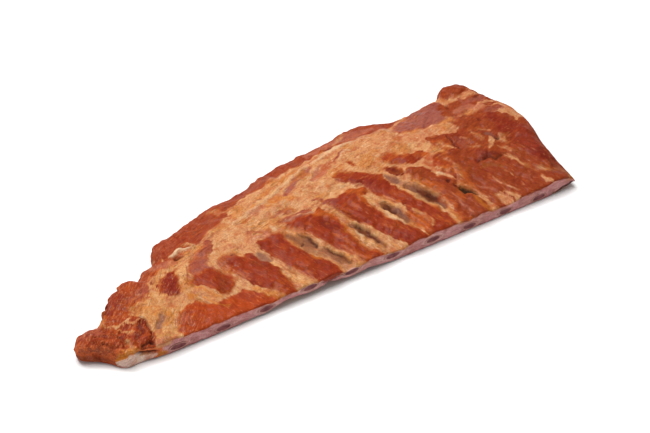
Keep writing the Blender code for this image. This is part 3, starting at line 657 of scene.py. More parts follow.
    ("tint", "slitShadow", 0.7, -1.0, [(149, -31, 0.3), (156, -29.5, 0.6), (161, -31, 0.9), (165, -34.5, 0.9), (169, -33, 0.7), (174, -31.5, 0.3)]),
    # a dark crease off the crack: painted shade in it
    ("tint", "deepMeatAndShade", 0.8, -1.3, [(162, -30, 0.9), (163, -24, 0.5)]),
    ("fat", "tan", 0.7, 0.4, [(176, -10, 1.2), (175, -15, 2.4), (171, -20, 1.6), (167, -22, 0.8)]),
    ("fat", "tan", 0.8, 0.3, [(183, -14, 1.8), (187, -19, 1.8)]),
    ("tint", "greyMauve", 0.8, -0.8, [(176, -4, 1.2), (178, -7, 2), (181, -11, 1.2)]),
    # a dark slit: painted shadow in it
    ("tint", "slitShadow", 0.9, -1.4, [(181, -10.5, 0.7), (183, -13, 1.2)]),
    ("fat", "fatPink", 0.6, 0.3, [(175, 4, 0.7), (179, 1, 0.9), (181, -3, 0.7)]),
    ("fat", "tan", 0.7, 0.3, [(186, -10, 0.8), (188, -15, 1.4), (186, -20, 1)]),
    ("fat", "tan", 0.7, 0.2, [(176, -22, 1), (181, -26, 1.2), (183, -32, 0.8)]),
    ("fat", "tan", 0.8, 0.3, [(176, -34, 1.2), (180, -42, 1.8), (182, -50, 1.6), (185, -53, 1)]),
    ("tint", "rose", 0.6, 0.1, [(182, -33, 1.6), (183, -40, 1.4)]),
    ("tint", "meatDark", 0.7, 0.5, [(197, 12, 7), (200, -5, 11), (199, -25, 11), (202, -48, 6)]),
    ("tint", "deepMeatAndShade", 0.6, -0.4, [(183, 14, 2.2)]),
    ("tint", "mauve", 0.5, 0.0, [(196, 22, 2.4), (211, 21, 2.6)]),
    ("meat", "meatRight", 0.9, 0.2, [(164, 15, 4), (170, 21, 5), (182, 24, 6), (196, 24, 5), (208, 23, 4)]),
    ("meat", "rose", 0.6, 0.1, [(165, 27, 2.4), (172, 31, 3), (180, 35, 3)]),
    ("fat", "fatRight", 0.7, 0.3, [(168, 25, 0.7), (177, 28, 1.1), (186, 30.5, 1.6), (196, 33, 1.9), (206, 35, 2), (214, 33, 1.8)]),
    ("fat", "tan", 0.7, 0.2, [(184, 26, 0.8), (191, 28, 1.4), (198, 29, 1)]),
    ("tint", "mauve", 0.6, -0.2, [(194, 21, 2.4), (204, 22, 3.4), (211, 21, 2.6)]),
    ("tint", "mauve", 0.6, 0.0, [(186, 42, 2), (196, 41, 3), (206, 41, 3)]),
    ("tint", "rose", 0.6, 0.1, [(186, 39, 2), (194, 46, 2)]),
    ("tint", "fatPink", 0.6, 0.0, [(172, 35, 3), (184, 36, 4), (196, 28, 3)]),
    ("meat", "meatRight", 0.9, 0.1, [(203, 12, 3), (208, 4, 3), (213, -4, 4)]),
    ("fat", "tan", 0.8, 0.1, [(208, 18, 1.2), (212, 12, 2.6), (214, 5, 2.4), (213, 0, 1.0)]),
    ("fat", "tan", 0.8, 0.1, [(173, 50, 1.4), (178, 54, 2.4), (184, 56, 1.4)]),
    ("meat", "rose", 0.8, 0.1, [(187, 52, 1.6), (186, 46, 2)]),
    ("fat", "tan", 0.8, 0.1, [(191, 53, 1.4), (196, 51, 2.2), (203, 51, 1.8)]),
    # dark marks at both sides of the knob's foot: painted shade where it meets the meat
    ("tint", "deepMeatAndShade", 0.7, -1.2, [(171, 45, 1), (173, 50, 1)]),
    ("tint", "deepMeatAndShade", 0.7, -1.0, [(199, 43, 0.9), (203, 46, 0.9)]),
    ("fat", "tan", 0.6, 0.2, [(191, -60, 1.8), (198, -66, 2.4)]),
    ("fat", "tan", 0.6, 0.2, [(187, -69, 1.4), (189, -78, 1.4)]),
    ("tint", "rose", 0.7, 0.2, [(176, -60, 1.2), (176, -70, 1.2)]),
    ("tint", "fatRight", 0.5, 0.0, [(144, -70, 3), (148, -80, 4)]),
    ("fat", "tan", 0.6, 0.2, [(151, -70, 2), (156, -80, 2.4)]),
    ("tint", "fatPink", 0.6, 0.3, [(133, -52, 0.8), (140, -58, 1), (143, -66, 0.8)]),
    ("tint", "deepMeatAndShade", 0.4, -0.2, [(203, -45, 4), (208, -60, 6), (211, -78, 7)]),
    ("fat", "fatPink", 0.5, 0.3, [(204, -66, 0.7), (209, -72, 0.8), (210, -79, 0.7)]),
    ("tint", "deepMeatAndShade", 0.5, -0.3, [(221, -12, 2.4), (216, -34, 3), (213, -56, 3)]),
    ("tint", "fatOrange", 0.9, 0.3, [(210, -76, 0.8), (214, -80, 2.2)]),
    ("tint", "taupePale", 0.5, 0.4, [(205, -58, 0.8), (209, -66, 1.8), (211, -74, 1.2)]),
    ("tint", "mauve", 0.5, 0.1, [(150, 2, 3), (152, -8, 3)]),
    ("fat", "fatPink", 0.5, 0.3, [(150, -50, 0.6), (153, -60, 0.8), (158, -70, 0.7)]),
    ("fat", "fatPink", 0.5, 0.3, [(165, -48, 0.6), (168, -58, 0.8), (169, -70, 0.7)]),
]


# The grid's shares of a side: even steps, with closer ones where an edge rolls over.
def sharesWithRim(steps, start, end, angles=(0.0, 16.0, 32.0, 47.0, 61.0)):
    inset = 1.0 - np.cos(np.radians(angles))
    first = inset * start
    last = 1.0 - (inset * end)[::-1]
    middle = np.linspace(start, 1.0 - end, steps + 1 - len(first) - len(last))
    return np.concatenate([first, middle, last])


# Coons patch: a point blends the two long edges and the two ends, less the blend of the four corners.
def planOfRack(along, across):
    shape = rackShape
    u, v = along[:, None, None], across[None, :, None]
    slab = alongLine(shape["slabEdge"], np.linspace(0.0, 1.0, 60))
    nearX = slab[0, 0] + along * (shape["sawnRight"] - slab[0, 0])
    near = np.stack([nearX, np.interp(nearX, slab[:, 0], slab[:, 1], right=sawnY)], -1)[:, None]
    far = alongLine(shape["farEdge"], along)[:, None]
    tip = alongLine(shape["tipEnd"], across)[None]
    wide = alongLine(shape["wideEnd"], across)[None]
    ends = (1 - u) * (1 - v) * near[0] + u * (1 - v) * near[-1] + (1 - u) * v * far[0] + u * v * far[-1]
    return (1 - v) * near + v * far + (1 - u) * tip + u * wide - ends


# Quarter circle: 0 on the outline, 1 once the distance inwards reaches the radius.
def roll(distance, radius):
    return np.sqrt(1.0 - (1.0 - np.clip(distance / radius, 0.0, 1.0)) ** 2)


ribBones = [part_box(f"rib_bone_{number:02d}") for number in range(1, 11)]
ribShape = {
    "halfWidth": 7.25, "halfDepth": 2.6, "lean": 0.306, "curl": 0.0009,
    "ends": [(high.x / mm - 7.25, low.z / mm + 2.6) for low, high in ribBones],
}


# Position across the ribs: x carried forward to the saw cut along the ribs' curve.
def acrossRibs(x, y):
    back = y - sawnY
    return x + ribShape["lean"] * back + ribShape["curl"] * back**2


# 1 over each rib, falling to 0 between two.
def overRibs(x, y, reach):
    line = acrossRibs(x, y)
    return sum(np.exp(-(((line - end) / reach) ** 2)) for end, _ in ribShape["ends"])


# Colours, fat and relief of the top at plan points x, y: the grounds first, then every muscle, then
# every streak, each laid over the last where its inside distance passes zero.
def paintTop(x, y):
    wx = x + 0.6 * waves(x, y, 11.0, 11) + 0.15 * waves(x, y, 4.0, 12)
    wy = y + 0.6 * waves(x, y, 11.0, 13) + 0.15 * waves(x, y, 4.0, 14)
    xs = [-228, -150, -100, 0, 60, 130, 228]
    grounds = ["fatLeft", "fatLeft", "fat", "fat", "fat", "fatRight", "fatRight"]
    colours = np.array([light(tones[name]) for name in grounds])
    fatColour = np.stack([np.interp(x, xs, column) for column in colours.T], -1)
    meatColour = np.broadcast_to(light(tones["meat"]), fatColour.shape).copy()
    fat = np.full(x.shape, 9.0)
    relief = np.zeros(x.shape)
    still = np.zeros(x.shape)
    for tone, swell, outline in muscles:
        inside = insideOutline(wx, wy, outline)
        cover = ease(inside, -1.2, 1.2)[..., None]
        meatColour += cover * (light(tones[tone]) - meatColour)
        fat = np.minimum(fat, -inside)
        relief += swell * ease(inside, -1.5, 5.0)
    for joins, tone, strength, rise, chain in streaks:
        inside = insideStreak(wx, wy, chain)
        cover = strength * ease(inside, -1.1, 0.9)[..., None]
        colour = light(tones[tone])
        if joins != "meat":
            fatColour += cover * (colour - fatColour)
        if joins != "fat":
            meatColour += cover * (colour - meatColour)
        if joins == "fat":
            fat = np.maximum(fat, inside)
        if joins == "meat":
            fat = np.minimum(fat, -inside)
        if tone in stillTones:
            still = np.maximum(still, strength * ease(inside, -0.9, 0.6))
        elif joins != "tint":
            still *= 1.0 - ease(inside, -0.9, 0.6)
        relief += rise * ease(inside, -1.3, 1.0)
    return meatColour, fatColour, fat, relief, still


# Marks on the sawn side: colour, strength, depth in mm and the chain (x, z, half width).
sawnMarks = [
    # the tip's side wall in a tone lighter than its own: painted light on the shaded face
    ("tipSideLit", 1.0, 0.0, [(-206, 10, 8), (-178, 9, 8)]),
    ("slab", 0.95, 0.0, [(-202, 5, 4), (-196, 6, 6), (-190, 5.5, 5.5)]),
    ("cutBrown", 0.5, 0.2, [(-204, 3, 0.3), (-193, 9, 0.3)]),
    ("cutBrown", 0.45, 0.2, [(-201, 1.5, 0.3), (-188, 8, 0.3)]),
    ("cutBrown", 0.4, 0.2, [(-203, 6, 0.3), (-196, 10.5, 0.3)]),
    ("fatPink", 0.4, 0.0, [(-194, 3, 1.6), (-189, 5, 1.6)]),
    ("fatOrange", 0.9, -0.5, [(-209, 3, 2.6), (-206, 9, 2.6), (-198, 13, 1.7), (-189, 12.8, 1.5)]),
    ("fatBright", 0.8, -0.2, [(-173, 12, 2.4), (-166, 12, 3)]),
    # the dark crack between the upper meat and the lumps below: painted shadow in it
    ("shadowBlack", 0.95, 1.6, [(-191, 11.2, 0.4), (-186, 10, 0.8), (-180, 8.6, 0.8), (-174, 7.8, 0.5)]),
    # the lumps' face below the crack in a pale tone lighter than its own: painted light on the shaded face
    ("slab", 0.8, -0.3, [(-186, 4.5, 3.6), (-179, 4, 3)]),
    ("fatPink", 0.6, 0.0, [(-183, 2, 1.6), (-178, 5.6, 1.2)]),
    ("fatBright", 0.7, -0.3, [(-188, 8.4, 0.9), (-182, 7, 0.9)]),
    ("fatOrange", 0.9, -0.2, [(-173, 3.6, 2.6), (-168, 3, 2)]),
    ("meat", 0.95, -0.3, [(-31, 13, 3.6), (-24, 11.4, 3.8), (-16, 13, 3)]),
    ("rose", 0.6, -0.2, [(-69, 13, 1.8), (-62, 12.4, 2.2)]),
    # a dark line under the meat that rolls over the cut: painted shade below it
    ("deepMeatAndShade", 0.8, 0.6, [(-33, 8.4, 0.5), (-24, 7.2, 0.7), (-15, 8.6, 0.5)]),
    # a dark patch low on the cut at the wide end, with browner cut beside it: painted shadow of the undercut corner
    ("shadowBlack", 0.85, 0.8, [(192, 0.6, 1.4), (202, 2.0, 2.4), (210, 4.0, 2.6)]),
    ("cutBrown", 0.7, 0.0, [(178, 2, 1.6), (190, 2, 1.8)]),
    ("fatOrange", 0.6, 0.0, [(204, 12, 1.4), (213, 9, 1.4)]),
]


# Colours of the sawn side at points x, z: the cut's mauve with a pale line round the ribs whose flesh has
# drawn back, darker along the bottom as painted contact shade, then the marks, some of them painted light and shade.
# Also the depth pressed into it, and where it is truly sawn.
def paintSide(x, z, wallTop):
    colour = np.broadcast_to(light(tones["cut"]), x.shape + (3,)).copy()
    cloud = ease(waves(x, 3.0 * z, 14.0, 52), 0.1, 1.2)[..., None]
    colour += 0.55 * cloud * (light(tones["cutBrown"]) - colour)
    streak = ease(waves(x, z, 3.0, 53, 5.0, -20.0), 0.5, 1.6)[..., None]
    colour += 0.5 * streak * (light(tones["cutPale"]) - colour)
    depth = np.zeros(x.shape)
    for number, (endX, endZ) in enumerate(ribShape["ends"]):
        away = np.hypot((x - endX) / ribShape["halfWidth"], (z - endZ) / ribShape["halfDepth"]) - 1.0
        line = np.exp(-(((away - 0.34) / 0.16) ** 2))[..., None]
        colour += (0.75 if 1 < number < 7 else 0.3) * line * (light(tones["cutPale"]) - colour)
        dim = np.exp(-((np.maximum(away, 0.0) / 0.14) ** 2))[..., None]
        colour += 0.7 * dim * (light(tones["cutBrown"]) - colour)
    # darker along the bottom of the cut, by the table: painted contact shade
    edge = (1.0 - ease(z - 0.4 * waves(x, z, 7.0, 54), 0.3, 1.4))[..., None] * ease(x, -166.0, -160.0)[..., None]
    colour += 0.5 * edge * (light(tones["deepMeatAndShade"]) - colour)
    wx = x + 0.5 * waves(x, z, 7.0, 55)
    wz = z + 0.4 * waves(x, z, 7.0, 56)
    sawn = ease(wallTop - 1.3 - z + 0.5 * waves(x, z, 8.0, 51), -0.6, 0.5) * ease(x, -176.0, -171.0)
    still = 0.8 * sawn
    for tone, strength, press, chain in sawnMarks:
        inside = insideStreak(wx, wz, chain)
        cover = strength * ease(inside, -0.6, 0.6)
        colour += cover[..., None] * (light(tones[tone]) - colour)
        sawn *= 1.0 - cover
        still = np.maximum(still * (1.0 - cover), cover * 0.8)
        depth += press * ease(inside, -0.8, 0.8)
    return colour, depth, sawn, still


# Unevenness of the top: swells, lumps, and fibres drawn out along the ribs in front, along the flap behind
# and on the slant at the tip.
def grain(x, y):
    band, slant = grainShares(x, y)
    line = acrossRibs(x, y)
    ribs = waves(line, y, 3.0, 24, 3.5, 90.0)
    flap = waves(x, y, 3.2, 25, 3.5, 16.0)
    tip = waves(x, y, 3.0, 26, 3.0, 48.0)
    fibres = tip * slant + (1.0 - slant) * (flap * band + ribs * (1.0 - band))
    rough = 0.35 * waves(x, y, 6.0, 27) * ease(-x, 165.0, 195.0)
    return rough + 0.55 * waves(x, y, 26.0, 21) + 0.24 * waves(x, y, 10.0, 22) + 0.05 * waves(x, y, 4.5, 23) + 0.09 * fibres


# How much the grain follows the flap, and how much it runs on the slant.
def grainShares(x, y):
    return ease(y, -32.0, -18.0), ease(-x, 115.0, 140.0)


# Heights of the top and of the underside over the plan: the thickness with the rolls of the rims.
def heights(plan, along, across, relief):
    shape = rackShape
    x, y = plan[..., 0], plan[..., 1]
    columns = through(shape["thicknessAt"], shape["thickness"], x.mean(axis=1))
    shares = np.linspace(0.0, 1.0, columns.shape[1])
    thick = through(shares, columns.T, across).T
    width = np.hypot(*(plan[:, -1] - plan[:, 0]).T)[:, None]
    length = np.hypot(*(plan[-1] - plan[0]).T)[None]
    radius = shape["rimRadius"]
    uneven = 1.0 + 0.08 * waves(x, y, 24.0, 31)
    far, tip = (1.0 - across[None]) * width, along[:, None] * length
    wide, near = (1.0 - along[:, None]) * length, across[None] * width
    rolls = roll(far, radius["far"] * uneven) * roll(tip, radius["tip"] * uneven)
    rolls = rolls * roll(wide, radius["wide"] * uneven)
    beak = ease(-x, 198.0, 214.0)
    foot = shape["footRadius"] * (1.0 + 0.9 * beak)
    footRolls = roll(far, foot) * roll(tip, foot) * roll(wide, foot)
    middle = (shape["rimShare"] + 0.22 * beak) * thick
    rough = relief + grain(x, y)
    top = middle + (thick - middle) * rolls + rough * ease(np.minimum(np.minimum(far, tip), wide), 0.0, 6.0)
    corner = shape["sawnCorner"] * (1.0 + 0.3 * waves(x, 0.0 * y, 12.0, 32))
    top = top - 1.5 * (1.0 - roll(near, corner)) * rolls
    lift = np.interp(x, shape["liftAt"], shape["lift"])
    lift = lift + shape["scallop"] * (0.6 - overRibs(x, y, 9.0)) * ease(lift, 0.4, 2.0)
    lift = np.maximum(lift, 0.0) * np.exp(-((near / shape["liftReach"]) ** 2))
    pits = 0.5 * np.maximum(waves(x, y, 14.0, 33), 0.0) * ease(np.minimum(far, np.minimum(tip, wide)), 2.0, 9.0)
    return top, middle + (lift + pits - middle) * footRolls


# The meat as one closed shell: top, sawn face and underside are grids that meet on shared edges, and the
# ends' finer top rows are joined to the underside by a strip of triangles.
def makeMeat():
    shape = rackShape
    radius = shape["rimRadius"]
    along = sharesWithRim(shape["stations"], radius["tip"] / 440.0, radius["wide"] / 440.0)
    across = sharesWithRim(shape["steps"], shape["sawnCorner"] / 120.0, radius["far"] / 120.0)
    plan = planOfRack(along, across)
    edgeFade = ease(across, 0.86, 1.0)[None, :, None]
    sway = np.stack([waves(plan[..., 0], plan[..., 1], size, seed) for size, seed in ((9.0, 41), (7.0, 42))], -1)
    ragged = shape["ragged"] * (1.0 + 3.0 * ease(-plan[..., :1], 150.0, 190.0))
    plan = plan + ragged * sway * edgeFade
    plan = np.clip(plan, meatLow[:2], meatHigh[:2])
    x, y = plan[..., 0], plan[..., 1]
    meatColour, fatColour, fat, relief, still = paintTop(x, y)
    top, foot = heights(plan, along, across, relief)
    top = np.minimum(top, meatHigh[2])
    rimward = np.minimum((1.0 - across[None]) * 110.0, np.minimum(along, 1.0 - along)[:, None] * 440.0)
    dry = np.maximum(1.0 - ease(rimward, 3.0, 12.0), 0.5 * ease(insideOutline(x, y, muscles[0][2]), 0.0, 6.0))
    plan[:, 0, 1] += shape["sawnRecess"]
    upper = np.concatenate([plan, top[..., None]], -1)
    lower = np.concatenate([plan, foot[..., None]], -1)[:, ::2]
    rise = np.linspace(0.0, 1.0, shape["wallSteps"] + 1)[None, :, None]
    wall = lower[:, :1] + rise * (upper[:, :1] - lower[:, :1])
    sideColour, depth, sawn, sideStill = paintSide(wall[..., 0], wall[..., 2], upper[:, :1, 2])
    depth[[0, -1]] = 0.0
    wall[:, 1:-1, 1] = np.maximum(wall[:, 1:-1, 1] + depth[:, 1:-1], sawnY)
    grids = [upper, wall, lower]
    counts = np.cumsum([0] + [grid[..., 0].size for grid in grids])
    numbers = [c + np.arange(g[..., 0].size).reshape(g.shape[:2]) for c, g in zip(counts, grids)]
    points = np.concatenate([grid.reshape(-1, 3) for grid in grids])
    ends = []
    for row, turned in ((0, False), (-1, True)):
        edge = numbers[0][row]
        strip = np.stack([edge[:-2:2], edge[1:-1:2], edge[2::2]], -1)
        ends.append(strip[:, ::-1] if turned else strip)
    faces = np.concatenate([cells(numbers[0]), cells(numbers[1]), cells(numbers[2], True)] + ends)

    # attributes, grid by grid
    def joined(onTop, onWall, onFoot):
        parts = (onTop, onWall, onFoot)
        return np.concatenate([np.broadcast_to(p, g.shape[:2] + p.shape[2:]).reshape((-1,) + p.shape[2:]) for p, g in zip(parts, grids)])

    plain = [np.zeros(g.shape[:2]) for g in grids]
    # the underside's colour darkened below the tip's beak, where it overhangs: painted shade under it
    shadeBelowBeak = (1.0 - 0.6 * ease(-lower[..., 0], 200.0, 212.0) * ease(lower[..., 2], 0.5, 5.0))[..., None]
    attributes = {
        "meatColour": joined(meatColour, sideColour, meatColour[:, ::2] * shadeBelowBeak),
        "fatColour": joined(fatColour, sideColour, fatColour[:, ::2]),
        "fat": joined(fat, 3.0 + plain[1], fat[:, ::2]),
        "sawn": joined(plain[0], sawn, plain[2]),
        "still": joined(still, sideStill, plain[2]),
        "under": joined(plain[0], plain[1], ease(rimward, 4.0, 10.0)[:, ::2]),
        "bandGrain": joined(grainShares(x, y)[0], plain[1], plain[2]),
        "slantGrain": joined(grainShares(x, y)[1], plain[1], plain[2]),
        "dry": joined(dry, dry[:, :1], dry[:, ::2]),
    }
    rounded = np.round(points, 4)
    _, first, place = np.unique(rounded, axis=0, return_index=True, return_inverse=True)
    faces = place.reshape(-1)[faces]
    a, b, c = faces.T
    faces = faces[(a != b) & (b != c) & (a != c)]
    piece = newPiece("rackMeat", points[first], faces, {k: v[first] for k, v in attributes.items()})
    print("rack: meat", len(first), "points,", len(faces), "triangles")
    return piece
meatFinish = {
    "gloss": 0.40,  # lowest roughness
    "glossSpread": 0.5,
    "juice": 0.14,  # weight of the clear juice over it
    "stretch": 7.0,  # length of the fibres against their width
    "fibre": 0.45,  # relief of the fibres, the strands, the creases and the grains, in mm
    "strands": 0.55,
    "crease": 0.25,
    "grains": 0.3,
}


# Roast meat and fat: the painted colours parted where the fat field crosses zero, streaked along the grain,
# browned and paled in patches, darkened along creases and fine lines as painted shade, greyer on the saw cut, marbled
# underneath.
def meatMaterial():
    finish = meatFinish
    sheet = FinishSheet("roastMeat")
    place = sheet.place
    x, y, z = (sheet.apart(place, axis) for axis in range(3))
    back = y - sawnY * mm
    line = x + back * ribShape["lean"] + back * back * (ribShape["curl"] / mm)
    stretch = finish["stretch"]
    alongRibs = sheet.vector(line, y / stretch, z)
    alongFlap = sheet.drawnOut(17.0, stretch)
    onSlant = sheet.drawnOut(48.0, stretch * 0.7)
    band = sheet.attribute("bandGrain")
    slant = sheet.attribute("slantGrain")

    def grainNoise(size, detail, distortion=0.0):
        ribs = sheet.noise(alongRibs, size, detail, 0.55, distortion)
        flap = sheet.noise(alongFlap, size, detail, 0.55, distortion)
        tip = sheet.noise(onSlant, size, detail, 0.55, distortion)
        return tip * slant + (1.0 - slant) * (flap * band + ribs * (1.0 - band))

    fibres = grainNoise(1.0, 2.0, 0.3)
    strands = grainNoise(3.2, 3.0, 0.5)
    mottle = sheet.noise(place, 6.0, 4.0, 0.55)
    patches = sheet.noise(place, 20.0, 3.0, 0.5)
    specks = sheet.noise(place, 1.6, 3.0, 0.6)
    under = sheet.attribute("under")
    sawn = sheet.attribute("sawn")
    # creases along the strands and fine lines along the fibres, both darkened in the colour below as painted shade of
    # the wrinkles; the creases are also sunk in the bump
    creases = 1.0 - (strands - 0.5).absolute().eased(0.0, 0.022)
    creases = creases * patches.eased(0.42, 0.6)
    hairlines = 1.0 - (fibres - 0.5).absolute().eased(0.0, 0.03)
    hairlines = hairlines * mottle.eased(0.42, 0.58)

    field = sheet.attribute("fat")
    softness = 0.6 + 2.4 * patches.eased(0.4, 0.62)
    fat = (field + (strands - 0.5) * 4.0 + (fibres - 0.5) * 2.4 + (mottle - 0.5) * 1.0) / softness
    fatShare = fat.eased(-1.0, 1.0)
    marbled = (sheet.noise(alongFlap, 14.0, 4.0, 0.6) + (mottle - 0.5) * 0.4).eased(0.5, 0.6)
    fatShare = fatShare + (marbled - fatShare) * under

    meat = sheet.attribute("meatColour", "Color")
    nearFat = field.eased(-5.0, 0.0)
    glazed = (strands * 0.5 + patches * 0.6 + mottle * 0.3 - 0.2 + nearFat * 0.12).eased(0.5, 0.68)
    dry = sheet.attribute("dry")
    calm = x.eased(0.125, 0.15) * 0.35
    meat = sheet.mix(glazed * (0.6 - dry * 0.5 - calm).clamped(), meat, opaque(tones["glazeBright"]))
    deep = (patches * 0.4 + mottle * 0.4 + strands * 0.2).eased(0.5, 0.38)
    meat = sheet.mix(deep * 0.5, meat, opaque(tones["meatShade"]))
    meat = sheet.mix((fibres * 0.7 + specks * 0.3).eased(0.55, 0.7) * 0.35, meat, opaque(tones["tan"]))
    across = sheet.noise(sheet.drawnOut(80.0, 5.0), 2.6, 3.0)
    meat = sheet.mix((across * 0.6 + mottle * 0.4).eased(0.46, 0.6) * dry, meat, opaque(tones["rose"]))
    meat = sheet.mix(strands.eased(0.48, 0.36) * slant * 0.4, meat, opaque(tones["meatShade"]))
    meat = sheet.mix(fibres.eased(0.52, 0.66) * slant * 0.28, meat, opaque(tones["tan"]))
    meat = sheet.dimmed(meat, 0.74 + 0.54 * fibres)
    # the fine lines darkened: painted shade
    meat = sheet.dimmed(meat, 1.0 - 0.3 * hairlines)
    fatty = sheet.attribute("fatColour", "Color")
    fatty = sheet.mix((strands * 0.5 + mottle * 0.5).eased(0.5, 0.38) * 0.55, fatty, opaque(tones["fatRed"]))
    fatty = sheet.mix((patches * 0.7 + strands * 0.3).eased(0.5, 0.6) * 0.55, fatty, opaque(tones["fatOrange"]))
    fatty = sheet.mix((mottle * 0.5 + fibres * 0.5).eased(0.52, 0.64) * 0.35, fatty, opaque(tones["cream"]))
    fatty = sheet.mix((specks * 0.6 + mottle * 0.4).eased(0.5, 0.4) * 0.45, fatty, opaque(tones["fatRed"]))
    fatty = sheet.dimmed(fatty, 0.74 + 0.3 * fibres + 0.22 * specks)
    colour = sheet.mix(fatShare, meat, fatty)
    # the creases darkened: painted shade
    colour = sheet.dimmed(colour, 1.0 - 0.42 * creases)
    raw = sheet.mix(fatShare, sheet.attribute("meatColour", "Color"), sheet.attribute("fatColour", "Color"))
    raw = sheet.dimmed(raw, 0.6 + 0.3 * mottle + 0.2 * specks + 0.3 * fibres)
    colour = sheet.mix(sheet.attribute("still") * 0.85, colour, raw)
    grit = sheet.noise(place, 0.9, 2.0, 0.6)
    colour = sheet.dimmed(colour, 0.45 + 1.1 * grit)
    pores = specks.eased(0.56, 0.7) * sawn * 0.35
    colour = sheet.mix(pores, colour, opaque(tones["cutPale"]))

    roughness = finish["gloss"] + 0.2 * sheet.attribute("still") + finish["glossSpread"] * (mottle + specks * 0.6 - 0.55).clamped() + dry * 0.5
    coat = finish["juice"] * patches.eased(0.35, 0.6) * (1.0 - dry) * (1.0 - sheet.attribute("still"))
    height = fibres * finish["fibre"] + specks * finish["grains"] + strands * finish["strands"]
    height = height - creases * finish["crease"]
    return sheet.finish({
        "Base Color": colour,
        "Roughness": roughness,
        "Coat Weight": coat,
        "Coat Roughness": 0.08,
        "Coat IOR": 1.4,
        "Specular IOR Level": 0.1,
        "Subsurface Weight": 0.10,
        "Subsurface Radius": (0.004, 0.0014, 0.0007),
        "Subsurface Scale": 1.0,
        "Normal": sheet.bump(height, 1.0, 0.75),
    })


boneFinish = {"rim": (216, 160, 150), "marrow": (148, 86, 86), "heart": (120, 68, 72), "shaft": (190, 140, 118)}


# Rib bone: a pale shaft, and at the sawn end a thin pale wall round dark spongy marrow.
def boneMaterial():
    sheet = FinishSheet("ribBone")
    place = sheet.place
    marrow = sheet.attribute("marrow")
    pores = sheet.noise(place, 1.3, 3.0, 0.6)
    clouds = sheet.noise(place, 5.0, 3.0, 0.5)
    dark = sheet.mix(clouds.eased(0.4, 0.62), opaque(boneFinish["marrow"]), opaque(boneFinish["heart"]))
    dark = sheet.mix(pores.eased(0.58, 0.72) * 0.25, dark, opaque(boneFinish["rim"]))
    pale = sheet.mix(clouds.eased(0.35, 0.65), opaque(boneFinish["rim"]), opaque(boneFinish["shaft"]))
    colour = sheet.mix((marrow + (clouds - 0.5) * 0.5).eased(0.35, 0.62), pale, dark)
    return sheet.finish({
        "Base Color": colour,
        "Roughness": 0.42 + 0.25 * clouds,
        "Specular IOR Level": 0.2,
        "Normal": sheet.bump(pores * 0.3 + clouds * 0.3, 1.0, 0.6),
    })


# Rib bones: oval sections parallel to the saw cut, carried back along the ribs' curve, closed at the
# inner end by a taper and at the sawn end by rings that shrink to its middle, slightly dished.
def makeBones(material):
    shape = ribShape
    sides, rings, faceRings = 48, 30, 9
    angle = np.arange(sides) * 2.0 * math.pi / sides
    reaches = [50.0, 62.0, 70.0, 78.0, 84.0, 88.0, 90.0, 88.0, 82.0, 70.0]
    for number, ((endX, endZ), reach) in enumerate(zip(shape["ends"], reaches), start=1):
        low, high = (np.array(corner) / mm for corner in ribBones[number - 1])
        out = np.linspace(0.0, 1.0, faceRings)  # middle of the sawn face to its rim
        back = np.concatenate([-0.0 * out, np.linspace(0.25, reach, rings), [reach + 3.0]])
        share = np.clip(back / reach, 0.0, 1.0)
        size = np.concatenate([out * 0.985, 1.0 - 0.35 * ease(share[faceRings:-1], 0.0, 0.2), [0.02]])
        dish = np.concatenate([0.15 * (1.0 - out**3), np.zeros(rings + 1)])
        y = sawnY + back + dish
        a, r = np.meshgrid(angle, size)
        deep = np.maximum(back, 0.0)
        wobble = 1.0 + 0.04 * np.cos(2.0 * a + number) + 0.03 * np.cos(3.0 * a + 2.0 * number)
        px = endX - shape["lean"] * deep[:, None] - shape["curl"] * deep[:, None] ** 2
        px = px + shape["halfWidth"] * r * wobble * np.cos(a)
        pz = endZ + 0.03 * deep[:, None] + shape["halfDepth"] * r * wobble * np.sin(a)
        points = np.stack([px, np.broadcast_to(y[:, None], px.shape), pz], -1)
        points = np.clip(points, low, high)
        numbers = np.arange(px.size).reshape(px.shape)
        numbers = np.concatenate([numbers, numbers[:, :1]], axis=1)
        marrow = np.concatenate([1.0 - ease(out, 0.8, 0.95), np.zeros(rings + 1)])
        marrow = np.broadcast_to(marrow[:, None], px.shape).reshape(-1)
        flat = points.reshape(-1, 3)
        last = numbers[-1, :-1]
        cap = np.stack([np.full(sides - 2, last[0]), last[1:-1], last[2:]], -1)
        faces = np.concatenate([cells(numbers), cap[:, ::-1]])
        _, first, place = np.unique(np.round(flat, 4), axis=0, return_index=True, return_inverse=True)
        faces = place.reshape(-1)[faces]
        i, j, k = faces.T
        faces = faces[(i != j) & (j != k) & (i != k)]
        bone = newPiece(f"ribBone{number:02d}", flat[first], faces, {"marrow": marrow[first]})
        bone.data.materials.append(material)
        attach(bone, "root")
        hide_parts(f"rib_bone_{number:02d}")
    print("rack: ten rib bones")


studio = {
    "floorSize": 8.0, "floorColour": 0.93, "worldLight": 0.35,
    "lamps": [
        # place in m, size in m, power in W
        ((-0.1, 0.38, 1.65), 1.4, 32.0),
        ((-0.45, 0.45, 0.95), 0.2, 2.6),
    ],
}


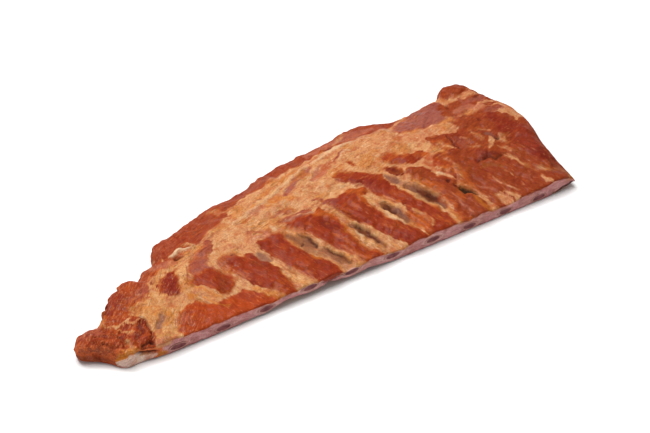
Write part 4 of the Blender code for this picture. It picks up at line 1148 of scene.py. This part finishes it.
# A plain pale floor whose colour drifts very slightly.
def makeFloor():
    half = studio["floorSize"] / 2.0
    corners = [(-half, -half, 0.0), (half, -half, 0.0), (half, half, 0.0), (-half, half, 0.0)]
    mesh = bpy.data.meshes.new("floor")
    mesh.from_pydata(corners, [], [(0, 1, 2, 3)])
    floor = bpy.data.objects.new("floor", mesh)
    bpy.context.scene.collection.objects.link(floor)
    sheet = FinishSheet("paleFloor")
    drift = sheet.noise(sheet.place, 400.0, 2.0)
    pale = studio["floorColour"]
    colour = sheet.mix(drift * 0.3, (pale, pale, pale, 1.0), (1.0, 1.0, 1.0, 1.0))
    mesh.materials.append(sheet.finish({"Base Color": colour, "Roughness": 0.8, "Specular IOR Level": 0.2}))


def makeLights():
    scene = bpy.context.scene
    scene.world = bpy.data.worlds.new("softStudio")
    scene.world.use_nodes = True
    background = scene.world.node_tree.nodes["Background"]
    background.inputs["Color"].default_value = (1.0, 0.995, 0.985, 1.0)
    background.inputs["Strength"].default_value = studio["worldLight"]
    for number, (place, size, power) in enumerate(studio["lamps"], start=1):
        lamp = bpy.data.lights.new(f"softLamp{number}", "AREA")
        lamp.shape = "DISK"
        lamp.size = size
        lamp.energy = power
        thing = bpy.data.objects.new(lamp.name, lamp)
        scene.collection.objects.link(thing)
        thing.location = place
        aim = np.array([0.0, 0.0, 0.0]) - np.array(place)
        thing.rotation_mode = "QUATERNION"
        thing.rotation_quaternion = Vector(aim).to_track_quat("-Z", "Y")
    scene.view_settings.view_transform = "Standard"


cameraSetup = {
    "elevation": 40.0, "azimuth": -31.5, "distance": 1.3, "lens": 88.0, "target": (0.01575, -0.0046, 0.0),
}


# The camera stands off its target at the azimuth and elevation.
def makeCamera():
    setup = cameraSetup
    e, a = math.radians(setup["elevation"]), math.radians(setup["azimuth"])
    towards = np.array([math.sin(a) * math.cos(e), -math.cos(a) * math.cos(e), math.sin(e)])
    camera = bpy.data.objects.new("camera", bpy.data.cameras.new("camera"))
    bpy.context.scene.collection.objects.link(camera)
    camera.data.lens = setup["lens"]
    camera.data.sensor_width = 36.0
    camera.data.clip_start = 0.05
    camera.data.clip_end = 20.0
    camera.location = np.array(setup["target"]) + setup["distance"] * towards
    camera.rotation_mode = "QUATERNION"
    camera.rotation_quaternion = Vector(towards).to_track_quat("Z", "Y")
    bpy.context.scene.camera = camera


meat = makeMeat()
meat.data.materials.append(meatMaterial())
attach(meat, "root")
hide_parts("meat")
makeBones(boneMaterial())
makeFloor()
makeLights()
makeCamera()
print("rack: floor, lights and camera")
